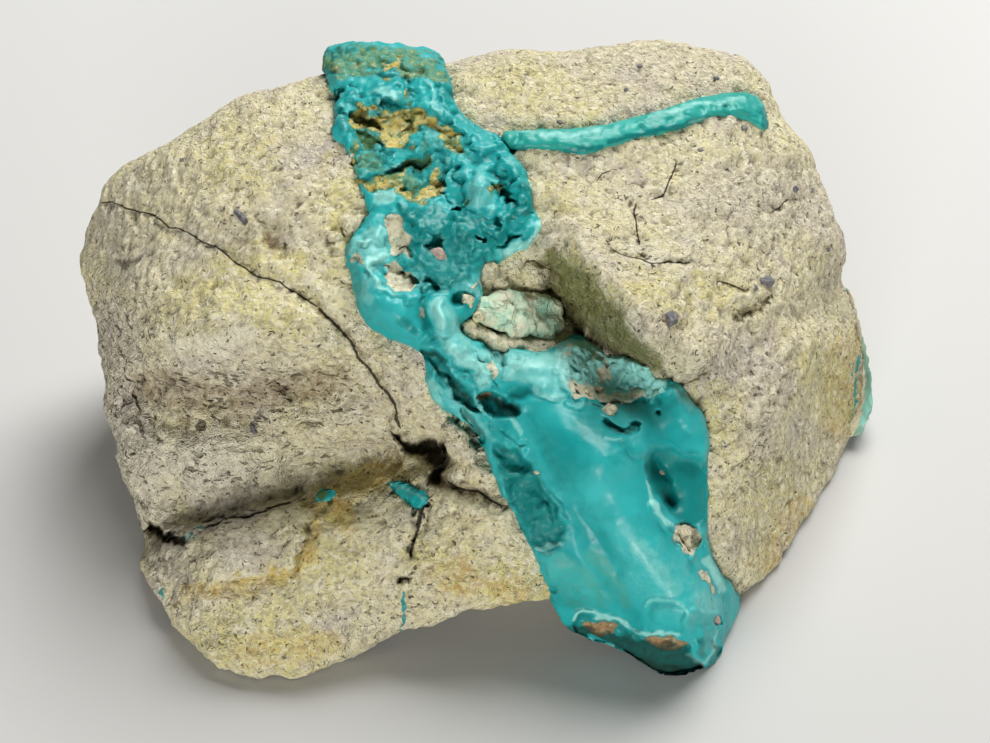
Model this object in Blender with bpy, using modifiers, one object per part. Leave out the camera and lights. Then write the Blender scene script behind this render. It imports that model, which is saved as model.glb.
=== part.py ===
"""A raw turquoise nugget: a pale, weathered host rock with a vein of turquoise across its show face.

Every form is drawn on the show face, the side that is turned to the viewer. A place on it is an
(x, y) pair in pixels of a picture of that face, counted from its top left corner. The surface at
such a place is given by its height above the table. Sizes are in metres unless a name says
otherwise.
"""

import math
from typing import NamedTuple

import bmesh
import bpy
import numpy as np
from mathutils import Vector

# Driving dimensions
ROCK_WIDTH = 0.067
VEIN_DEPTH = 0.0022
VEIN_GAP = 0.0003

# How the show face is seen
ROCK_WIDTH_PX = 788
PICTURE_CENTRE_PX = (495.0, 371.5)
VIEW_ELEVATION = math.radians(40)
EYE_DISTANCE = 0.235
PIVOT = np.array([0.0, 0.0, 0.0143])
PIXEL = ROCK_WIDTH / ROCK_WIDTH_PX
RIGHT = np.array([1.0, 0.0, 0.0])
UP = np.array([0.0, math.sin(VIEW_ELEVATION), math.cos(VIEW_ELEVATION)])
TOWARD = np.array([0.0, -math.cos(VIEW_ELEVATION), math.sin(VIEW_ELEVATION)])
MM = 0.001

# Fineness of the worked meshes, and how many triangles each piece keeps
SLAB_THICKNESS = 0.006
TABLE_SIZE = 0.2
THINNEST = 0.0012
ROCK_VOXEL = 0.00055
CRUST_VOXEL = 0.0004
SMALL_VOXEL = 0.00028
ROCK_TRIANGLES = 3450
VEIN_TRIANGLES = 2100
EDGE_CRUST_TRIANGLES = 200
ROUNDS_OF_SMOOTHING = 3

# Cloudy relief of the rock: (grain, height)
ROCK_RELIEF = [(0.0070, 0.0009), (0.0022, 0.0004)]

# Outline of the bare rock, clockwise from its left tip
ROCK_OUTLINE_PX = [
    (98, 203), (108, 179), (123, 163), (167, 144), (203, 125), (219, 112), (240, 95), (257, 90),
    (303, 84), (340, 72), (390, 66), (445, 65), (488, 54), (523, 50), (560, 53), (590, 49),
    (622, 45), (654, 41), (676, 39), (697, 46), (735, 54), (751, 65), (767, 84), (777, 110),
    (799, 134), (815, 156), (823, 185), (835, 215), (843, 239), (846, 260), (841, 280), (846, 301),
    (854, 332), (860, 372), (859, 404), (853, 430), (840, 469), (818, 506), (798, 540), (776, 573),
    (756, 590), (736, 603), (722, 630), (700, 650), (650, 645), (600, 622), (558, 607), (537, 604),
    (520, 606), (480, 613), (441, 626), (402, 635), (361, 657), (327, 671), (301, 683), (267, 683),
    (235, 674), (207, 660), (182, 639), (157, 607), (143, 579), (136, 556), (145, 535), (126, 486),
    (115, 440), (107, 412), (104, 371), (101, 341), (94, 314), (83, 281), (78, 256), (81, 240),
]

# Heights of the show face above the table: (x px, y px, height mm)
RIM_HEIGHTS = [
    (340, 62, 32.5), (460, 58, 33.0), (560, 52, 33.0), (680, 42, 32.3), (760, 75, 29.3),
    (240, 96, 31.0), (150, 152, 27.0), (100, 203, 22.0), (79, 256, 17.5), (100, 340, 12.5),
    (108, 412, 8.5), (124, 486, 5.0), (146, 532, 3.0), (800, 135, 26.0), (823, 185, 22.0),
    (846, 258, 17.5), (841, 282, 14.0), (863, 332, 9.5), (868, 390, 4.0), (858, 435, 1.5),
    (800, 537, 1.0), (740, 600, 1.2), (700, 655, 1.0), (600, 624, 3.0), (540, 603, 6.0),
    (450, 624, 4.8), (380, 648, 2.4), (290, 683, 1.0), (210, 660, 1.8), (160, 607, 2.0),
    (138, 560, 2.2),
]
CROWN_HEIGHTS = [
    (220, 170, 29.6), (300, 130, 31.6), (160, 210, 25.8), (280, 230, 28.2), (130, 270, 21.8),
    (200, 300, 23.8), (300, 290, 25.6), (370, 240, 27.8), (560, 100, 32.6), (680, 90, 31.8),
    (560, 170, 30.7), (680, 170, 29.7), (770, 160, 26.8), (620, 240, 28.4), (720, 240, 26.4),
    (800, 240, 21.5), (690, 310, 25.0), (770, 300, 21.4), (400, 100, 32.4), (430, 190, 29.8),
    (480, 130, 31.6), (575, 266, 28.3), (602, 285, 28.0), (625, 318, 26.9), (648, 345, 25.7),
    (675, 345, 24.0), (700, 360, 22.8),
]
FRONT_HEIGHTS = [
    (130, 330, 17.8), (200, 342, 21.7), (290, 335, 23.1), (370, 320, 24.2), (130, 430, 9.6),
    (210, 382, 17.3), (180, 420, 12.9), (250, 415, 14.0), (340, 405, 16.4), (210, 465, 9.6),
    (290, 450, 11.4), (200, 500, 7.2), (280, 480, 9.2), (370, 445, 12.4), (400, 290, 26.3),
    (450, 350, 23.3), (500, 420, 18.6), (520, 480, 15.2), (440, 410, 18.6),
]
LOBE_HEIGHTS = [
    (172, 570, 5.0), (205, 556, 8.2), (250, 540, 8.6), (310, 525, 9.4), (370, 500, 10.6),
    (250, 620, 5.6), (340, 598, 7.6), (450, 560, 10.6), (500, 540, 12.0), (430, 500, 12.8),
    (180, 620, 2.6), (470, 480, 14.2), (395, 560, 9.4),
]
POCKET_HEIGHTS = [
    (480, 285, 25.8), (530, 270, 24.8), (555, 298, 22.2), (577, 328, 20.6), (608, 350, 19.6),
    (640, 371, 18.7), (530, 325, 22.2), (480, 345, 22.6), (560, 375, 20.4),
]
RIGHT_FACE_HEIGHTS = [
    (712, 388, 18.9), (745, 350, 19.8), (782, 322, 19.2), (720, 430, 15.8), (725, 500, 11.0),
    (736, 560, 5.6), (755, 560, 4.4), (757, 500, 9.4), (776, 440, 12.6), (800, 380, 14.6),
    (812, 335, 16.4), (832, 380, 8.6), (815, 430, 7.4), (790, 482, 5.6), (772, 540, 2.8),
    (842, 350, 11.2), (850, 405, 4.4), (620, 440, 18.6),
    (600, 500, 14.6), (650, 560, 10.4), (690, 620, 5.4), (580, 575, 8.6), (690, 440, 15.6),
]

# Cracks across the show face: the line they follow, their width and their depth
LONG_CRACK_PX = [
    (88, 203), (112, 203), (130, 209), (160, 218), (175, 227), (200, 240), (222, 252), (256, 276),
    (280, 281), (305, 298), (330, 320), (352, 345), (370, 370), (389, 395), (397, 418), (404, 432),
]
LOBE_TOP_CRACK_PX = [
    (132, 530), (150, 531), (168, 537), (188, 536), (205, 528), (225, 518), (246, 516),
    (262, 511), (290, 502), (320, 494), (345, 488), (380, 474), (410, 462),
]
LOBE_CRACK_PX = [
    (441, 478), (428, 500), (420, 513), (416, 535), (410, 555), (405, 575), (404, 600), (402, 636),
]
VEIN_FOOT_CRACK_PX = [(440, 478), (467, 487), (482, 495), (500, 507)]
CRACKS = [
    (LONG_CRACK_PX, 0.0006, 0.0013),
    (LOBE_TOP_CRACK_PX, 0.0010, 0.0014),
    (LOBE_CRACK_PX, 0.0007, 0.0014),
    (VEIN_FOOT_CRACK_PX, 0.0008, 0.0014),
]

# Ledges: a line that the face drops along, on its right hand side, the drop in mm, and how far
# from the line the face has risen back, in pixels
LEDGES = [
    ([(412, 462), (345, 488), (290, 502), (246, 516), (205, 528), (150, 531)], 3.0, 52),
    ([(548, 258), (562, 292), (584, 330), (614, 350), (650, 376)], 0.9, 30),
    ([(700, 366), (732, 345), (760, 318), (800, 300), (838, 276)], 0.9, 46),
    ([(330, 322), (352, 345), (370, 370), (389, 395)], -0.7, 40),
    ([(590, 262), (602, 290), (632, 330), (655, 366)], 0.7, 26),
]
LEDGE_WIDTH_PX = 7
LEDGE_TAPER_PX = 26

# Hollows and knobs of the rock: (x px, y px, radius px, height mm), where a hollow's height is below zero
ROCK_KNOBS = [
    (428, 450, 27, -5.0), (412, 436, 12, -2.0), (560, 262, 26, -1.6), (630, 368, 26, -1.6),
    (532, 281, 14, 1.4), (465, 442, 20, 1.3), (282, 236, 16, -0.5), (300, 262, 14, -0.5),
    (240, 575, 34, 0.6), (300, 545, 24, 0.6), (750, 322, 24, -0.8), (700, 350, 20, 0.5),
    (800, 300, 16, 0.5), (330, 170, 50, 0.4), (150, 245, 26, 0.5), (210, 330, 40, 0.5),
    (700, 210, 50, 0.3), (720, 560, 24, 0.7), (160, 380, 22, -0.4), (205, 450, 34, 0.5),
]

# Planes that close the rock behind and below: (outward normal, distance from the origin in mm)
BACK_PLANES = [
    ((-0.18, 1.00, 0.10), 26.5),
    ((-0.62, 0.78, 0.05), 35.0),
    ((-0.93, 0.36, 0.10), 40.0),
    ((0.76, 0.64, -0.05), 33.5),
    ((0.00, 0.80, 0.60), 39.5),
    ((0.30, 0.91, -0.29), 25.0),
    ((-0.15, 0.72, -0.68), 15.5),
    ((-0.81, 0.10, -0.58), 24.5),
    ((0.80, 0.10, -0.60), 27.0),
]
BACK_BLEND = 0.0014
RIM_ROUNDING = 0.0018
UNDERSIDE_WAVE = 0.0007
ARCH_HEIGHT = 0.0062
ARCH_SPAN = (-0.014, 0.003, 0.0155)
ARCH_REACH = (-0.004, -0.021)

# Outline of the turquoise vein, clockwise from the top of its left edge
VEIN_OUTLINE_PX = [
    (326, 66), (327, 52), (340, 43), (370, 44), (400, 48), (428, 52), (442, 62), (448, 82),
    (452, 106), (464, 120), (482, 134), (500, 140), (512, 155), (522, 174), (531, 190), (530, 210),
    (541, 224), (534, 238), (505, 257), (484, 263), (478, 284), (481, 298), (470, 314), (456, 324),
    (462, 338), (486, 344), (512, 352), (545, 353), (562, 345), (575, 336), (596, 348), (612, 356),
    (640, 361), (662, 378), (674, 381), (690, 401), (705, 424), (706, 470), (706, 525), (709, 558),
    (722, 576), (737, 596), (736, 612), (723, 636), (721, 654), (707, 674), (686, 684), (668, 680),
    (650, 665), (626, 650), (590, 638), (567, 626), (556, 606), (546, 578), (536, 551), (521, 522),
    (508, 500), (497, 476), (487, 452), (472, 424), (448, 410), (431, 395), (427, 372), (424, 350),
    (400, 340), (378, 330), (362, 314), (356, 290), (351, 268), (349, 244), (362, 228), (372, 214),
    (364, 192), (355, 176), (348, 150), (333, 134), (337, 116), (335, 92),
]
VEIN_RIM = 0.0007
VEIN_RISE = 0.0011
BED_COVER = 0.0008
CAP_TOP_PX = [(320, 72), (326, 52), (340, 43), (370, 44), (400, 48), (428, 52), (446, 66)]
CAP_ROUNDING = 0.0018
CAP_WRAP_PX = (92, 52)
CAP_WRAP_DEPTH = 0.0060
FOOT_WRAP_PX = (590, 640)
FOOT_WRAP_DEPTH = 0.0042

# The same vein where it comes out at the back of the rock, seen through the rock
BACK_VEIN_OUTLINE_PX = [
    (328, 54), (345, 45), (372, 45), (402, 49), (430, 54), (443, 66), (446, 88), (438, 116),
    (437, 142), (424, 160), (412, 184), (417, 206), (403, 222), (398, 240), (386, 246), (374, 226),
    (368, 196), (356, 176), (352, 150), (340, 130), (342, 108), (331, 88),
]
BACK_VEIN_KNOBS = [
    (360, 90, 22, 0.5), (415, 100, 24, 0.6), (388, 128, 16, -0.7), (410, 150, 16, 0.5),
    (372, 160, 14, 0.4), (392, 196, 18, 0.5), (380, 60, 16, 0.4), (430, 76, 12, -0.6),
]

# Lumps and pits of the vein: (x px, y px, radius px, height mm)
VEIN_KNOBS = [
    (346, 58, 20, 0.5), (392, 62, 26, 0.4), (432, 78, 18, 0.6), (352, 80, 16, 0.6),
    (388, 96, 22, 0.8), (434, 108, 14, 0.6), (341, 128, 12, 0.7), (347, 92, 8, -1.4),
    (362, 121, 12, -1.3), (402, 128, 20, -0.9), (362, 152, 10, -0.8), (372, 168, 18, -0.3),
    (418, 172, 18, -1.1), (440, 150, 18, -0.4), (430, 190, 16, -1.0), (455, 128, 14, -0.4),
    (478, 186, 20, 1.2), (518, 196, 16, 0.8), (507, 192, 7, -1.3), (455, 200, 12, -1.0),
    (425, 226, 20, 0.5), (462, 230, 22, 0.8), (497, 222, 12, 0.4), (524, 232, 16, 0.3),
    (436, 246, 8, -1.2), (440, 256, 10, -0.6), (392, 245, 20, -0.9), (398, 270, 16, -0.9),
    (378, 208, 14, -0.3), (364, 242, 13, 0.2), (462, 275, 14, 0.3), (458, 296, 10, -0.8),
    (433, 280, 12, -0.7), (393, 304, 27, 0.9), (376, 286, 18, 0.5), (440, 320, 18, 0.8),
    (456, 350, 20, 0.6), (418, 318, 8, -0.7), (500, 352, 14, -0.9), (505, 398, 18, -1.8),
    (545, 378, 34, 0.5), (520, 388, 10, -0.8), (587, 360, 24, 0.3), (640, 378, 22, -0.2),
    (600, 392, 24, -0.6), (612, 414, 10, 0.3), (622, 428, 13, -0.8), (660, 470, 20, -1.6),
    (672, 500, 20, -1.5), (684, 538, 14, -1.6), (694, 470, 20, -0.4), (680, 420, 26, 0.6),
    (575, 420, 40, 0.6), (600, 470, 42, 0.9), (625, 520, 42, 1.0), (655, 565, 42, 0.9),
    (690, 600, 34, 0.7), (530, 500, 20, -0.6), (545, 535, 18, -0.5), (518, 462, 14, -0.9),
    (580, 585, 26, 0.1), (700, 645, 20, 0.9), (620, 640, 16, -0.4), (665, 650, 18, -0.3),
]

SIDE_VEIN_OUTLINE_PX = [
    (501, 136), (507, 130), (514, 132), (540, 130), (566, 130), (590, 128), (612, 123), (640, 117),
    (665, 110), (690, 101), (712, 96), (738, 93), (757, 97), (765, 110), (768, 128), (762, 131),
    (748, 122), (720, 116), (704, 120), (690, 126), (660, 134), (640, 138), (612, 146), (584, 154),
    (562, 151), (540, 149), (522, 150), (512, 150),
]

# Turquoise that coats the back edge on the right, seen through the rock
EDGE_CRUST_OUTLINE_PX = [
    (846, 282), (857, 302), (864, 332), (873, 366), (875, 398), (870, 424), (857, 441), (836, 430),
    (822, 400), (800, 378), (806, 340), (818, 326), (826, 292),
]
BACK_RISE = 0.0011
BACK_DEPTH = 0.0016

# Outlines of the small pieces let into the show face
CHIP_OUTLINE_PX = [(388, 484), (402, 482), (416, 488), (427, 495), (424, 506), (418, 510), (404, 499)]
SMALL_CHIP_OUTLINE_PX = [(316, 494), (326, 489), (335, 492), (333, 499), (322, 503), (315, 501)]
POCKET_CHUNK_OUTLINE_PX = [
    (482, 300), (500, 294), (522, 296), (548, 294), (560, 306), (565, 322), (556, 333), (538, 335),
    (512, 333), (494, 328), (478, 317),
]
WEDGED_FRAGMENT_OUTLINE_PX = [
    (443, 424), (451, 421), (459, 427), (467, 439), (475, 454), (477, 463), (468, 467), (455, 460),
    (446, 443),
]

# Colours, as red, green and blue from 0 to 1
HOST_ROCK_COLOUR = (0.50, 0.46, 0.31)
TURQUOISE_COLOUR = (0.05, 0.44, 0.42)
SIDE_VEIN_COLOUR = (0.04, 0.42, 0.36)
PALE_CHUNK_COLOUR = (0.48, 0.60, 0.42)
STONE_ROUGHNESS = 0.95
WAX_ROUGHNESS = 0.35


class Inlay(NamedTuple):
    """A small piece let into the show face: how far it stands out, how deep it sits, its rounded rim."""

    name: str
    outline: list
    rise: float
    depth: float
    rim: float
    triangles: int
    colour: tuple
    roughness: float


INLAYS = [
    Inlay(
        "side_vein", SIDE_VEIN_OUTLINE_PX, 0.0011, 0.0013, 0.0007, 400, SIDE_VEIN_COLOUR,
        WAX_ROUGHNESS,
    ),
    Inlay(
        "turquoise_chip", CHIP_OUTLINE_PX, 0.0005, 0.0012, 0.0003, 120, TURQUOISE_COLOUR,
        WAX_ROUGHNESS,
    ),
    Inlay(
        "small_chip", SMALL_CHIP_OUTLINE_PX, 0.0004, 0.0010, 0.0003, 80, TURQUOISE_COLOUR,
        WAX_ROUGHNESS,
    ),
    Inlay(
        "pocket_chunk", POCKET_CHUNK_OUTLINE_PX, 0.0011, 0.0014, 0.0008, 260, PALE_CHUNK_COLOUR,
        STONE_ROUGHNESS,
    ),
    Inlay(
        "wedged_fragment", WEDGED_FRAGMENT_OUTLINE_PX, 0.0010, 0.0014, 0.0008, 160,
        HOST_ROCK_COLOUR, STONE_ROUGHNESS,
    ),
]


def to_space(show):
    """Points in space of show-face points (x px, y px, metres nearer the viewer than the pivot)."""
    across = (show[:, :1] - PICTURE_CENTRE_PX[0]) * PIXEL
    above = (PICTURE_CENTRE_PX[1] - show[:, 1:2]) * PIXEL
    nearer = show[:, 2:3]
    spread = (EYE_DISTANCE - nearer) / EYE_DISTANCE
    return PIVOT + (across * RIGHT + above * UP) * spread + nearer * TOWARD


def to_show(points):
    """Show-face points (x px, y px, metres nearer the viewer) of points in space."""
    from_pivot = points - PIVOT
    nearer = from_pivot @ TOWARD
    spread = EYE_DISTANCE / (EYE_DISTANCE - nearer)
    x = PICTURE_CENTRE_PX[0] + from_pivot @ RIGHT * spread / PIXEL
    y = PICTURE_CENTRE_PX[1] - from_pivot @ UP * spread / PIXEL
    return np.stack([x, y, nearer], axis=1)


def nearness_at_height(places, height):
    """How near the viewer a sight line passes when it is at that height above the table."""
    above = (PICTURE_CENTRE_PX[1] - places[:, 1]) * PIXEL
    rise_per_metre = TOWARD[2] - above * UP[2] / EYE_DISTANCE
    return (height - PIVOT[2] - above * UP[2]) / rise_per_metre


def smooth_outline(corners, steps=4):
    """A closed Catmull-Rom curve through the corners."""
    corners = np.array(corners, float)
    before, after, beyond = (np.roll(corners, shift, axis=0) for shift in (1, -1, -2))
    points = []
    for t in np.arange(steps) / steps:
        points.append(
            0.5
            * (
                2 * corners
                + (after - before) * t
                + (2 * before - 5 * corners + 4 * after - beyond) * t**2
                + (3 * corners - before - 3 * after + beyond) * t**3
            )
        )
    return np.stack(points, axis=1).reshape(-1, 2)


def follow_line(places, line, closed=False):
    """Distance from each place to a line of straight runs, the side, and how far along, in pixels.

    The side is above zero on the line's right hand.
    """
    starts = np.array(line, float)
    ends = np.roll(starts, -1, axis=0)
    if not closed:
        starts, ends = starts[:-1], ends[:-1]
    nearest = np.full(len(places), np.inf)
    side = np.zeros(len(places))
    along = np.zeros(len(places))
    passed = 0.0
    for start, end in zip(starts, ends):
        run = end - start
        length = np.linalg.norm(run)
        offset = places - start
        share = np.clip(offset @ run / length**2, 0, 1)
        gap = np.linalg.norm(offset - share[:, None] * run, axis=1)
        closer = gap < nearest
        nearest = np.where(closer, gap, nearest)
        side = np.where(closer, run[0] * offset[:, 1] - run[1] * offset[:, 0], side)
        along = np.where(closer, passed + share * length, along)
        passed += length
    return nearest, side, along, passed


def smoothstep(value, low, high):
    """0 below low, 1 above high, and an easy curve between. Low may be above high."""
    share = np.clip((value - low) / (high - low), 0, 1)
    return share * share * (3 - 2 * share)


def quarter_round(inward, radius):
    """The height of a rounded edge, from 0 at the edge to 1 where the rounding ends."""
    return np.sqrt(1 - (1 - np.clip(inward / radius, 0, 1)) ** 2)


def knob_relief(places, knobs):
    """Sum of round lumps and hollows, in metres."""
    relief = np.zeros(len(places))
    for x, y, radius, height_mm in knobs:
        gap = np.hypot(places[:, 0] - x, places[:, 1] - y) / radius
        relief += height_mm * MM * np.clip(1 - gap**2, 0, 1) ** 2
    return relief


def crack_relief(places, line, width, depth):
    """A narrow crack along a line."""
    gap = follow_line(places, line)[0] * PIXEL
    return -depth * smoothstep(gap, width, 0)


def ledge_relief(places, line, drop_mm, reach_px):
    """A drop along a line, on its right hand side, that the face rises back from further out."""
    gap, side, along, length = follow_line(places, line)
    edge = smoothstep(np.where(side > 0, gap, 0), 0, LEDGE_WIDTH_PX)
    fade = smoothstep(gap, reach_px, LEDGE_WIDTH_PX)
    taper = smoothstep(along, 0, LEDGE_TAPER_PX) * smoothstep(length - along, 0, LEDGE_TAPER_PX)
    return -drop_mm * MM * edge * fade * taper


class ShowFace:
    """The bare rock's front as seen from the viewer: a thin-plate surface through stated heights."""

    def __init__(self, heights):
        table = np.array(heights, float)
        self.places = table[:, :2]
        nearness = nearness_at_height(self.places, table[:, 2] * MM)
        count = len(table)
        affine = np.hstack([np.ones((count, 1)), self.places])
        system = np.zeros((count + 3, count + 3))
        system[:count, :count] = self.kernel(self.places)
        system[:count, count:] = affine
        system[count:, :count] = affine.T
        self.weights = np.linalg.solve(system, np.concatenate([nearness, np.zeros(3)]))

    def kernel(self, places):
        """Thin-plate kernel between the places and the surface's own."""
        gap = np.linalg.norm(places[:, None] - self.places[None], axis=2)
        return gap**2 * np.log(np.maximum(gap, 1e-6))

    def nearness(self, places):
        """How near the viewer the smooth face is at each place."""
        affine = np.hstack([np.ones((len(places), 1)), places])
        return self.kernel(places) @ self.weights[:-3] + affine @ self.weights[-3:]


SHOW_FACE = ShowFace(
    RIM_HEIGHTS + CROWN_HEIGHTS + FRONT_HEIGHTS + LOBE_HEIGHTS + POCKET_HEIGHTS + RIGHT_FACE_HEIGHTS
)


def vein_rise(places):
    """How far the main vein stands out of the smooth show face, knobs and pits included."""
    return VEIN_RISE + knob_relief(places, VEIN_KNOBS)


def rock_front(places):
    """The rock's front with its knobs, hollows, ledges and cracks, rounded off at its outline.

    Under the vein's pits it is lower too, so that the vein covers its bed.
    """
    front = SHOW_FACE.nearness(places) + knob_relief(places, ROCK_KNOBS)
    front += np.minimum(vein_rise(places) - BED_COVER, 0)
    front += sum(ledge_relief(places, *ledge) for ledge in LEDGES)
    front += sum(crack_relief(places, *crack) for crack in CRACKS)
    inward = follow_line(places, smooth_outline(ROCK_OUTLINE_PX, 2), closed=True)[0] * PIXEL
    return front - RIM_ROUNDING * (1 - quarter_round(inward, RIM_ROUNDING))


def underside_height(points):
    """Height of the underside above the table: nearly flat, with an arch at the front."""
    left, crown, right = ARCH_SPAN
    across = np.minimum(
        smoothstep(points[:, 0], left, crown), smoothstep(points[:, 0], right, crown)
    )
    along = smoothstep(points[:, 1], *ARCH_REACH)
    wave = np.sin(points[:, 0] * 420 + 0.6) * np.sin(points[:, 1] * 380 + 1.1)
    return np.maximum(UNDERSIDE_WAVE * (wave - 0.1), 0) + ARCH_HEIGHT * across * along


def rock_back(places):
    """How near the viewer the rock's back and underside are: the nearest of all their surfaces."""
    zero = to_space(np.column_stack([places, np.zeros(len(places))]))
    one = to_space(np.column_stack([places, np.ones(len(places))]))
    per_metre = one - zero
    surfaces = []
    for normal, offset_mm in BACK_PLANES:
        normal = np.array(normal) / np.linalg.norm(normal)
        surfaces.append((offset_mm * MM - zero @ normal) / (per_metre @ normal))
    under = -zero[:, 2] / per_metre[:, 2]
    for _ in range(6):
        height = underside_height(zero + under[:, None] * per_metre)
        under = (height - zero[:, 2]) / per_metre[:, 2]
    surfaces.append(under)
    stack = np.stack(surfaces) / BACK_BLEND
    highest = stack.max(axis=0)
    return BACK_BLEND * (highest + np.log(np.exp(stack - highest).sum(axis=0)))


def mesh_coordinates(mesh):
    """A mesh's points as an array of rows."""
    flat = np.empty(len(mesh.vertices) * 3, np.float32)
    mesh.vertices.foreach_get("co", flat)
    return flat.reshape(-1, 3).astype(float)


def set_coordinates(mesh, points):
    """Moves a mesh's points."""
    mesh.vertices.foreach_set("co", points.astype(np.float32).ravel())
    mesh.update()


def apply_modifiers(piece):
    """Replaces the piece's mesh with the one that its modifiers make."""
    graph = bpy.context.evaluated_depsgraph_get()
    made = bpy.data.meshes.new_from_object(piece.evaluated_get(graph))
    piece.modifiers.clear()
    piece.data = made


def remesh(piece, voxel):
    """Evens the piece's mesh out to cells of one size."""
    modifier = piece.modifiers.new("Even cells", "REMESH")
    modifier.mode = "VOXEL"
    modifier.voxel_size = voxel
    apply_modifiers(piece)


def smooth(piece, rounds):
    """Rounds the piece's edges."""
    modifier = piece.modifiers.new("Round", "SMOOTH")
    modifier.factor = 0.5
    modifier.iterations = rounds
    apply_modifiers(piece)


def roughen(piece, grain, height, seed):
    """Adds cloudy relief of that grain to the piece."""
    texture = bpy.data.textures.new(f"{piece.name} relief {seed}", "CLOUDS")
    texture.noise_scale = grain
    texture.noise_depth = 2
    guide = bpy.data.objects.new(f"{piece.name} relief origin {seed}", None)
    guide.location = (0.37 * seed, -0.21 * seed, 0.11 * seed)
    bpy.context.collection.objects.link(guide)
    modifier = piece.modifiers.new("Relief", "DISPLACE")
    modifier.texture = texture
    modifier.texture_coords = "OBJECT"
    modifier.texture_coords_object = guide
    modifier.strength = height
    modifier.mid_level = 0.5
    bpy.context.view_layer.update()
    apply_modifiers(piece)
    bpy.data.objects.remove(guide)


def thin_out(piece, triangles):
    """Keeps about that many triangles, where the shape needs them."""
    mesh = piece.data
    mesh.calc_loop_triangles()
    now = len(mesh.loop_triangles)
    modifier = piece.modifiers.new("Fewer triangles", "DECIMATE")
    modifier.ratio = min(1.0, triangles / now)
    modifier.use_collapse_triangulate = True
    apply_modifiers(piece)


def slab(name, outline, front, back, voxel):
    """A closed piece between two surfaces over an outline on the show face."""
    bm = bmesh.new()
    curve = smooth_outline(outline) * (PIXEL, -PIXEL)
    rim = [bm.verts.new((x, y, 0)) for x, y in curve[::-1]]
    cap = bm.faces.new(rim)
    sides = bmesh.ops.extrude_face_region(bm, geom=[cap])
    lifted = [item for item in sides["geom"] if isinstance(item, bmesh.types.BMVert)]
    bmesh.ops.translate(bm, verts=lifted, vec=Vector((0, 0, SLAB_THICKNESS)))
    bmesh.ops.recalc_face_normals(bm, faces=bm.faces)
    mesh = bpy.data.meshes.new(name)
    bm.to_mesh(mesh)
    bm.free()
    piece = bpy.data.objects.new(name, mesh)
    bpy.context.collection.objects.link(piece)
    remesh(piece, voxel)
    flat = mesh_coordinates(piece.data)
    places = flat[:, :2] / (PIXEL, -PIXEL)
    share = np.clip(flat[:, 2] / SLAB_THICKNESS, 0, 1)
    faced = front(places)
    backed = np.minimum(back(places), faced - THINNEST)
    nearer = backed * (1 - share) + faced * share
    set_coordinates(piece.data, to_space(np.column_stack([places, nearer])))
    return piece


def fuse(piece, other):
    """Adds another piece's mesh to the piece's, which a later remesh makes one."""
    bm = bmesh.new()
    bm.from_mesh(piece.data)
    bm.from_mesh(other.data)
    bm.to_mesh(piece.data)
    bm.free()
    bpy.data.objects.remove(other)


def drop_crumbs(piece):
    """Keeps only the largest of the mesh's separate bodies."""
    bm = bmesh.new()
    bm.from_mesh(piece.data)
    waiting = set(bm.faces)
    bodies = []
    while waiting:
        body = [waiting.pop()]
        for face in body:
            near = {other for edge in face.edges for other in edge.link_faces} & waiting
            waiting -= near
            body.extend(near)
        bodies.append(body)
    bodies.sort(key=len)
    crumbs = [face for body in bodies[:-1] for face in body]
    bmesh.ops.delete(bm, geom=crumbs, context="FACES")
    loose = [vert for vert in bm.verts if not vert.link_faces]
    bmesh.ops.delete(bm, geom=loose, context="VERTS")
    bm.to_mesh(piece.data)
    bm.free()


def cut_flat_on_table(piece):
    """Wears the piece flat where it reaches below the table."""
    bm = bmesh.new()
    bmesh.ops.create_cube(bm, size=TABLE_SIZE)
    bmesh.ops.translate(bm, verts=bm.verts, vec=Vector((0, 0, -TABLE_SIZE / 2)))
    mesh = bpy.data.meshes.new("Table")
    bm.to_mesh(mesh)
    bm.free()
    table = bpy.data.objects.new("Table", mesh)
    bpy.context.collection.objects.link(table)
    modifier = piece.modifiers.new("Flat base", "BOOLEAN")
    modifier.operation = "DIFFERENCE"
    modifier.solver = "EXACT"
    modifier.object = table
    bpy.context.view_layer.update()
    apply_modifiers(piece)
    bpy.data.objects.remove(table)


def host_rock():
    """The pale rock itself, before the vein's bed is cut in it."""
    rock = slab("host_rock", ROCK_OUTLINE_PX, rock_front, rock_back, ROCK_VOXEL)
    remesh(rock, ROCK_VOXEL)
    smooth(rock, ROUNDS_OF_SMOOTHING)
    for seed, (grain, height) in enumerate(ROCK_RELIEF, start=1):
        roughen(rock, grain, height, seed)
    thin_out(rock, ROCK_TRIANGLES)
    drop_crumbs(rock)
    cut_flat_on_table(rock)
    return rock


def crust_on(surface, side, outline, rise, depth, rim):
    """The two surfaces of a crust on one side of the rock, in the order front, back.

    Rise and depth are functions of the place. The side is 1 for the show face and -1 for the back.
    """
    edge = smooth_outline(outline)

    def outer(places):
        inward = follow_line(places, edge, closed=True)[0] * PIXEL
        rounded = 0.15 + 0.85 * quarter_round(inward, rim)
        return surface(places) + side * rise(places) * rounded

    def inner(places):
        return surface(places) - side * depth(places)

    return (outer, inner) if side > 0 else (inner, outer)


def finish_crust(piece, voxel, triangles):
    """Evens out a crust, rounds it and thins it out."""
    remesh(piece, voxel)
    smooth(piece, ROUNDS_OF_SMOOTHING)
    thin_out(piece, triangles)
    drop_crumbs(piece)
    return piece


def small_piece(inlay):
    """A small piece let into the show face."""
    surfaces = crust_on(
        SHOW_FACE.nearness, 1, inlay.outline, lambda places: inlay.rise,
        lambda places: inlay.depth, inlay.rim,
    )
    piece = slab(inlay.name, inlay.outline, *surfaces, SMALL_VOXEL)
    return finish_crust(piece, SMALL_VOXEL, inlay.triangles)


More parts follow.
